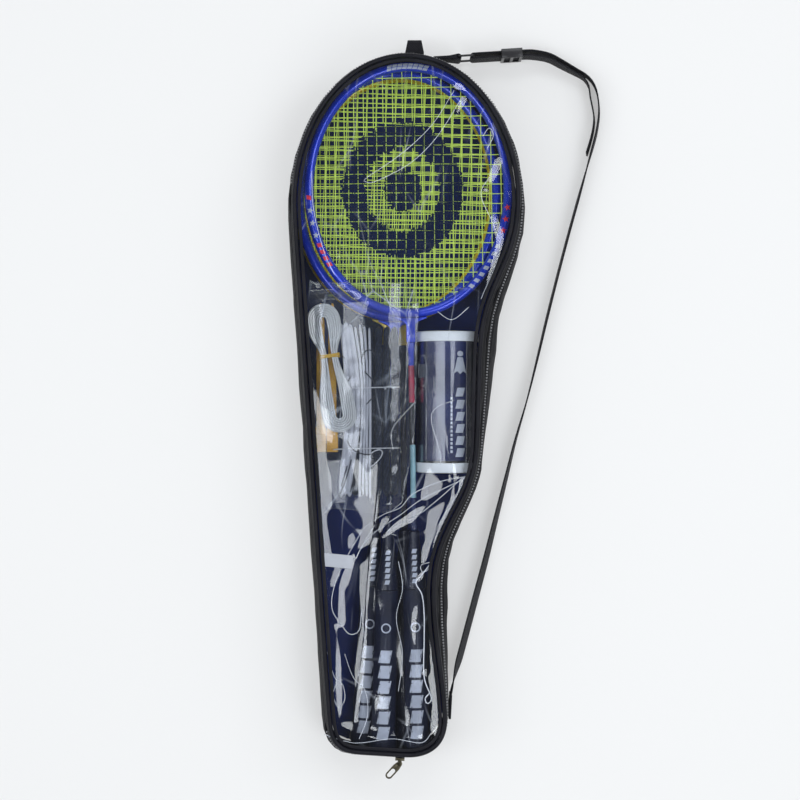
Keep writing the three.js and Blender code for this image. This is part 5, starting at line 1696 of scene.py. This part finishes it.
def make_ties():
    """Thin white ties round the folded net, and dark twine caught in its folds."""
    white = corded("white_tie_cord", (0.78, 0.80, 0.84))
    low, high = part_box("net_bundle")
    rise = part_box("net_tape_left")[1].z + 0.0010

    def tie(name, y, left, right, loop):
        points = [Vector((left, y - 0.001, rise - 0.006)), Vector((left + 0.0015, y - 0.0005, rise))]
        for i in range(1, 8):
            share = i / 8
            points.append(Vector((left + (right - left) * share, y + 0.0012 * share, rise + 0.0003)))
        points += [Vector((right - 0.0015, y + 0.001, rise)), Vector((right, y + 0.001, rise - 0.005))]
        strands = [tube_along(points, 0.00075, False, 2, "NURBS")]
        for spots in loop:
            bend = [Vector((x, bend_y, rise + 0.0012)) for x, bend_y in spots]
            strands.append(tube_along(bend, 0.0006, False, 2, "NURBS"))
        made = as_mesh(joined(name, strands))
        face_out(made, 0.000001)
        finish(made, name, "bag", "rope", white, (), 80)

    first, last = low.x - 0.0045, high.x - 0.004
    knot = [(last - 0.012, 0.0165), (last - 0.009, 0.0215), (last - 0.004, 0.0200), (last - 0.003, 0.0170)]
    tie("net_upper_tie", 0.0178, first + 0.008, last + 0.002, [knot])
    bow = [(-0.035, -0.046), (-0.028, -0.041), (-0.022, -0.043), (-0.025, -0.051), (-0.033, -0.058)]
    bow.append((-0.036, -0.060))
    tie("net_lower_tie", -0.0418, first - 0.006, last + 0.002, [bow])
    twine = corded("dark_twine", (0.02, 0.02, 0.035))
    loops = [
        [(-0.066, 0.052), (-0.064, 0.049), (-0.060, 0.047)],
        [(-0.061, 0.020), (-0.058, 0.024), (-0.055, 0.028)],
        [(-0.044, 0.046), (-0.042, 0.057), (-0.034, 0.058), (-0.031, 0.050)],
        [(-0.041, 0.034), (-0.037, 0.030), (-0.032, 0.024)],
        [(-0.039, 0.002), (-0.036, 0.006), (-0.031, 0.010)],
        [(-0.058, -0.034), (-0.054, -0.046), (-0.040, -0.049), (-0.032, -0.046)],
        [(-0.054, -0.052), (-0.057, -0.066), (-0.062, -0.080), (-0.066, -0.087)],
        [(-0.049, -0.060), (-0.052, -0.072), (-0.055, -0.084)],
        [(-0.058, -0.058), (-0.061, -0.070), (-0.064, -0.078)],
    ]
    strands = []
    for spots in loops:
        bend = [Vector((x, y, rise - 0.0002)) for x, y in spots]
        strands.append(tube_along(bend, 0.00055, False, 1, "NURBS"))
    made = as_mesh(joined("twine", strands))
    face_out(made, 0.000001)
    finish(made, "net_dark_twine", "bag", "net_mesh", twine, (), 80)


POUCH_EDGE = [
    (-0.0955, 0.124),
    (-0.075, 0.114),
    (-0.055, 0.108),
    (-0.032, 0.107),
    (-0.012, 0.118),
    (-0.002, 0.121),
    (0.008, 0.112),
    (0.0125, 0.100),
    (0.011, 0.060),
    (0.010, 0.020),
    (0.008, -0.030),
    (0.002, -0.065),
    (-0.004, -0.095),
    (-0.016, -0.104),
    (-0.030, -0.100),
    (-0.044, -0.106),
    (-0.060, -0.098),
    (-0.076, -0.101),
    (-0.0845, -0.080),
    (-0.0885, -0.030),
    (-0.0925, 0.040),
]


def pouch_height(x, y, edge):
    """The pouch lies on the hank and the tapes and falls away at its edges."""
    over_hank = math.exp(-(((x + 0.073) / 0.024) ** 2))
    over_hank *= smoothstep(-0.055, -0.020, y) * smoothstep(0.115, 0.100, y)
    over_tapes = smoothstep(-0.075, -0.060, x) * smoothstep(-0.002, -0.020, x)
    inner = smoothstep(0.0, 0.012, edge)
    floor_height = 0.0595 + 0.0022 * over_tapes
    z = floor_height + (0.0682 - floor_height) * min(1.0, over_hank * 1.25)
    z -= 0.003 * (1 - inner) * smoothstep(0.105, 0.09, y)
    crumple = noise.noise(Vector((x * 55, y * 38, 9.0)))
    crumple += 0.5 * noise.noise(Vector((x * 130, y * 95, 5.0)))
    return z + 0.00035 * crumple * (1 - 0.6 * min(1.0, over_hank))


def make_pouch():
    milky = (0.62, 0.70, 0.82)
    # The pouch film carries painted highlight lines along its creases, at strength 0.22.
    film = clear_film("pouch_film_clear", (0.985, 0.99, 1.0), 0.006, 0.018, 0.30, 0.22, 0.10, milky)
    loop = [Vector((x, y, 0)) for x, y in POUCH_EDGE]
    sheet = fitted_sheet("pouch", loop, 90, 180, pouch_height)
    modifier(sheet, "SOLIDIFY", thickness=0.0002, offset=0)
    finish(sheet, "net_pouch_film", "bag", "pouch_film", film, ["net_pouch"], 180)


# ---------------------------------------------------------------- studio


def softbox(name, position, size, power, target=(0, 0, 0)):
    data = bpy.data.lights.new(name, "AREA")
    data.shape = "RECTANGLE"
    data.size, data.size_y = size
    data.energy = power
    data.color = (0.92, 0.96, 1.0)
    lamp = bpy.data.objects.new(name, data)
    lamp.location = position
    lamp.rotation_euler = (Vector(target) - Vector(position)).to_track_quat("-Z", "Y").to_euler()
    bpy.context.scene.collection.objects.link(lamp)


def light_ring(tree, settings):
    """A bright ring round the set that fades to dark overhead, where flat clear film would mirror it."""
    height = tree.nodes.new("ShaderNodeSeparateXYZ")
    fade = tree.nodes.new("ShaderNodeMapRange")
    where = tree.nodes.new("ShaderNodeTexCoord")
    tree.links.new(where.outputs["Generated"], height.inputs[0])
    tree.links.new(height.outputs["Z"], fade.inputs["Value"])
    fade.inputs["From Min"].default_value = 0.58
    fade.inputs["From Max"].default_value = 0.84
    fade.inputs["To Min"].default_value = settings.ring_strength
    fade.inputs["To Max"].default_value = 0.03
    background = tree.nodes["Background"]
    background.inputs["Color"].default_value = (0.96, 0.98, 1.0, 1)
    tree.links.new(fade.outputs["Result"], background.inputs["Strength"])


def make_studio(settings):
    scene = bpy.context.scene
    data = bpy.data.cameras.new("view_camera")
    data.lens = settings.lens
    data.sensor_width = 36
    data.clip_end = 20
    camera = bpy.data.objects.new("view_camera", data)
    camera.location = (-0.0064, 0.0062, settings.camera_height)
    scene.collection.objects.link(camera)
    scene.camera = camera
    bpy.ops.object.select_all(action="DESELECT")
    bpy.ops.mesh.primitive_plane_add(size=24, location=(0, 0, 0))
    floor = bpy.context.active_object
    floor.name = "studio_floor"
    paint = Finish("floor_paint", settings.floor, 0.9, emission_strength=settings.floor_glow)
    paint.shader.inputs["Emission Color"].default_value = (1, 1, 1, 1)
    cloud = paint.noise(3, 3.0)
    base = paint.blend(cloud, settings.floor, darker(settings.floor, 0.995))
    paint.link(base, "Base Color")
    floor.data.materials.append(paint.material)
    world = bpy.data.worlds.new("studio_light")
    scene.world = world
    world.use_nodes = True
    light_ring(world.node_tree, settings)
    softbox("softbox_foot_right", (0.70, -0.80, 1.75), (0.75, 1.1), 13.0, (0.2, -0.2, 0))
    softbox("softbox_left", (-1.0, -0.15, 1.8), (0.7, 1.8), 17.0)
    softbox("softbox_right", (1.15, 0.45, 1.8), (0.6, 1.6), 13.0)
    softbox("softbox_head", (0.0, 1.35, 1.85), (1.4, 0.6), 12.0)
    scene.view_settings.view_transform = "Standard"


# ---------------------------------------------------------------- operators and panel


class BADMINTON_OT_studio(bpy.types.Operator):
    """Sets up the camera, floor and soft studio light"""

    bl_idname = "badminton.studio"
    bl_label = "Studio"

    def execute(self, context):
        make_studio(context.scene.badminton_studio)
        return {"FINISHED"}


class BADMINTON_OT_strap(bpy.types.Operator):
    """Makes the shoulder strap, its tabs, ring and slider, and the hanging loop"""

    bl_idname = "badminton.strap"
    bl_label = "Strap"

    def execute(self, context):
        make_strap(context.scene.badminton_strap)
        return {"FINISHED"}


class BADMINTON_OT_rope(bpy.types.Operator):
    """Winds the rope hank and its rubber band"""

    bl_idname = "badminton.rope"
    bl_label = "Rope hank"

    def execute(self, context):
        make_rope(context.scene.badminton_net)
        return {"FINISHED"}


class BADMINTON_OT_bag(bpy.types.Operator):
    """Makes the bag's walls, panel, piping, label and zip"""

    bl_idname = "badminton.bag"
    bl_label = "Bag"

    def execute(self, context):
        settings = context.scene.badminton_bag
        make_walls(settings)
        make_panels(settings)
        make_piping(settings)
        make_label()
        make_zip(settings)
        return {"FINISHED"}


class BADMINTON_OT_front(bpy.types.Operator):
    """Stretches the clear vinyl front with its folds and creases"""

    bl_idname = "badminton.front"
    bl_label = "Clear front"

    def execute(self, context):
        make_front_film(context.scene.badminton_bag)
        return {"FINISHED"}


class BADMINTON_OT_rackets(bpy.types.Operator):
    """Makes the rackets with their strings, paint, grips and marks"""

    bl_idname = "badminton.rackets"
    bl_label = "Rackets"

    def execute(self, context):
        make_rackets(context.scene.badminton_racket)
        return {"FINISHED"}


class BADMINTON_OT_tube(bpy.types.Operator):
    """Makes the shuttle tube with its caps, sleeve and shuttles"""

    bl_idname = "badminton.tube"
    bl_label = "Shuttle tube"

    def execute(self, context):
        make_tube(context.scene.badminton_tube)
        return {"FINISHED"}


class BADMINTON_OT_net(bpy.types.Operator):
    """Makes the folded net, its tapes, ties and pegs"""

    bl_idname = "badminton.net"
    bl_label = "Net"

    def execute(self, context):
        settings = context.scene.badminton_net
        make_net_bundle()
        make_net_tapes(settings)
        make_ties()
        make_pegs(settings)
        return {"FINISHED"}


class BADMINTON_OT_pouch(bpy.types.Operator):
    """Lays the crumpled film pouch over the net"""

    bl_idname = "badminton.pouch"
    bl_label = "Pouch"

    def execute(self, context):
        make_pouch()
        return {"FINISHED"}


STEPS = ("studio", "strap", "rope", "bag", "rackets", "tube", "net", "pouch", "front")

SETTINGS = {
    "badminton_bag": BagSettings,
    "badminton_strap": StrapSettings,
    "badminton_racket": RacketSettings,
    "badminton_net": NetSettings,
    "badminton_tube": TubeSettings,
    "badminton_studio": StudioSettings,
}


class BADMINTON_PT_panel(bpy.types.Panel):
    """Lists the steps that build the set, and their sizes and colours"""

    bl_idname = "BADMINTON_PT_panel"
    bl_label = "Badminton set"
    bl_space_type = "VIEW_3D"
    bl_region_type = "UI"
    bl_category = "Badminton"

    def draw(self, context):
        for step in STEPS:
            self.layout.operator("badminton." + step)
        for group in SETTINGS:
            box = self.layout.box()
            settings = getattr(context.scene, group)
            for key in settings.__annotations__:
                box.prop(settings, key)


CLASSES = (
    *SETTINGS.values(),
    BADMINTON_OT_studio,
    BADMINTON_OT_strap,
    BADMINTON_OT_rope,
    BADMINTON_OT_bag,
    BADMINTON_OT_front,
    BADMINTON_OT_rackets,
    BADMINTON_OT_tube,
    BADMINTON_OT_net,
    BADMINTON_OT_pouch,
    BADMINTON_PT_panel,
)


def register():
    for cls in CLASSES:
        bpy.utils.register_class(cls)
    for name, cls in SETTINGS.items():
        setattr(bpy.types.Scene, name, PointerProperty(type=cls))


def unregister():
    for name in SETTINGS:
        delattr(bpy.types.Scene, name)
    for cls in reversed(CLASSES):
        bpy.utils.unregister_class(cls)


def main():
    register()
    for step in STEPS:
        getattr(bpy.ops.badminton, step)()
    bpy.context.view_layer.update()


if __name__ == "__main__":
    main()
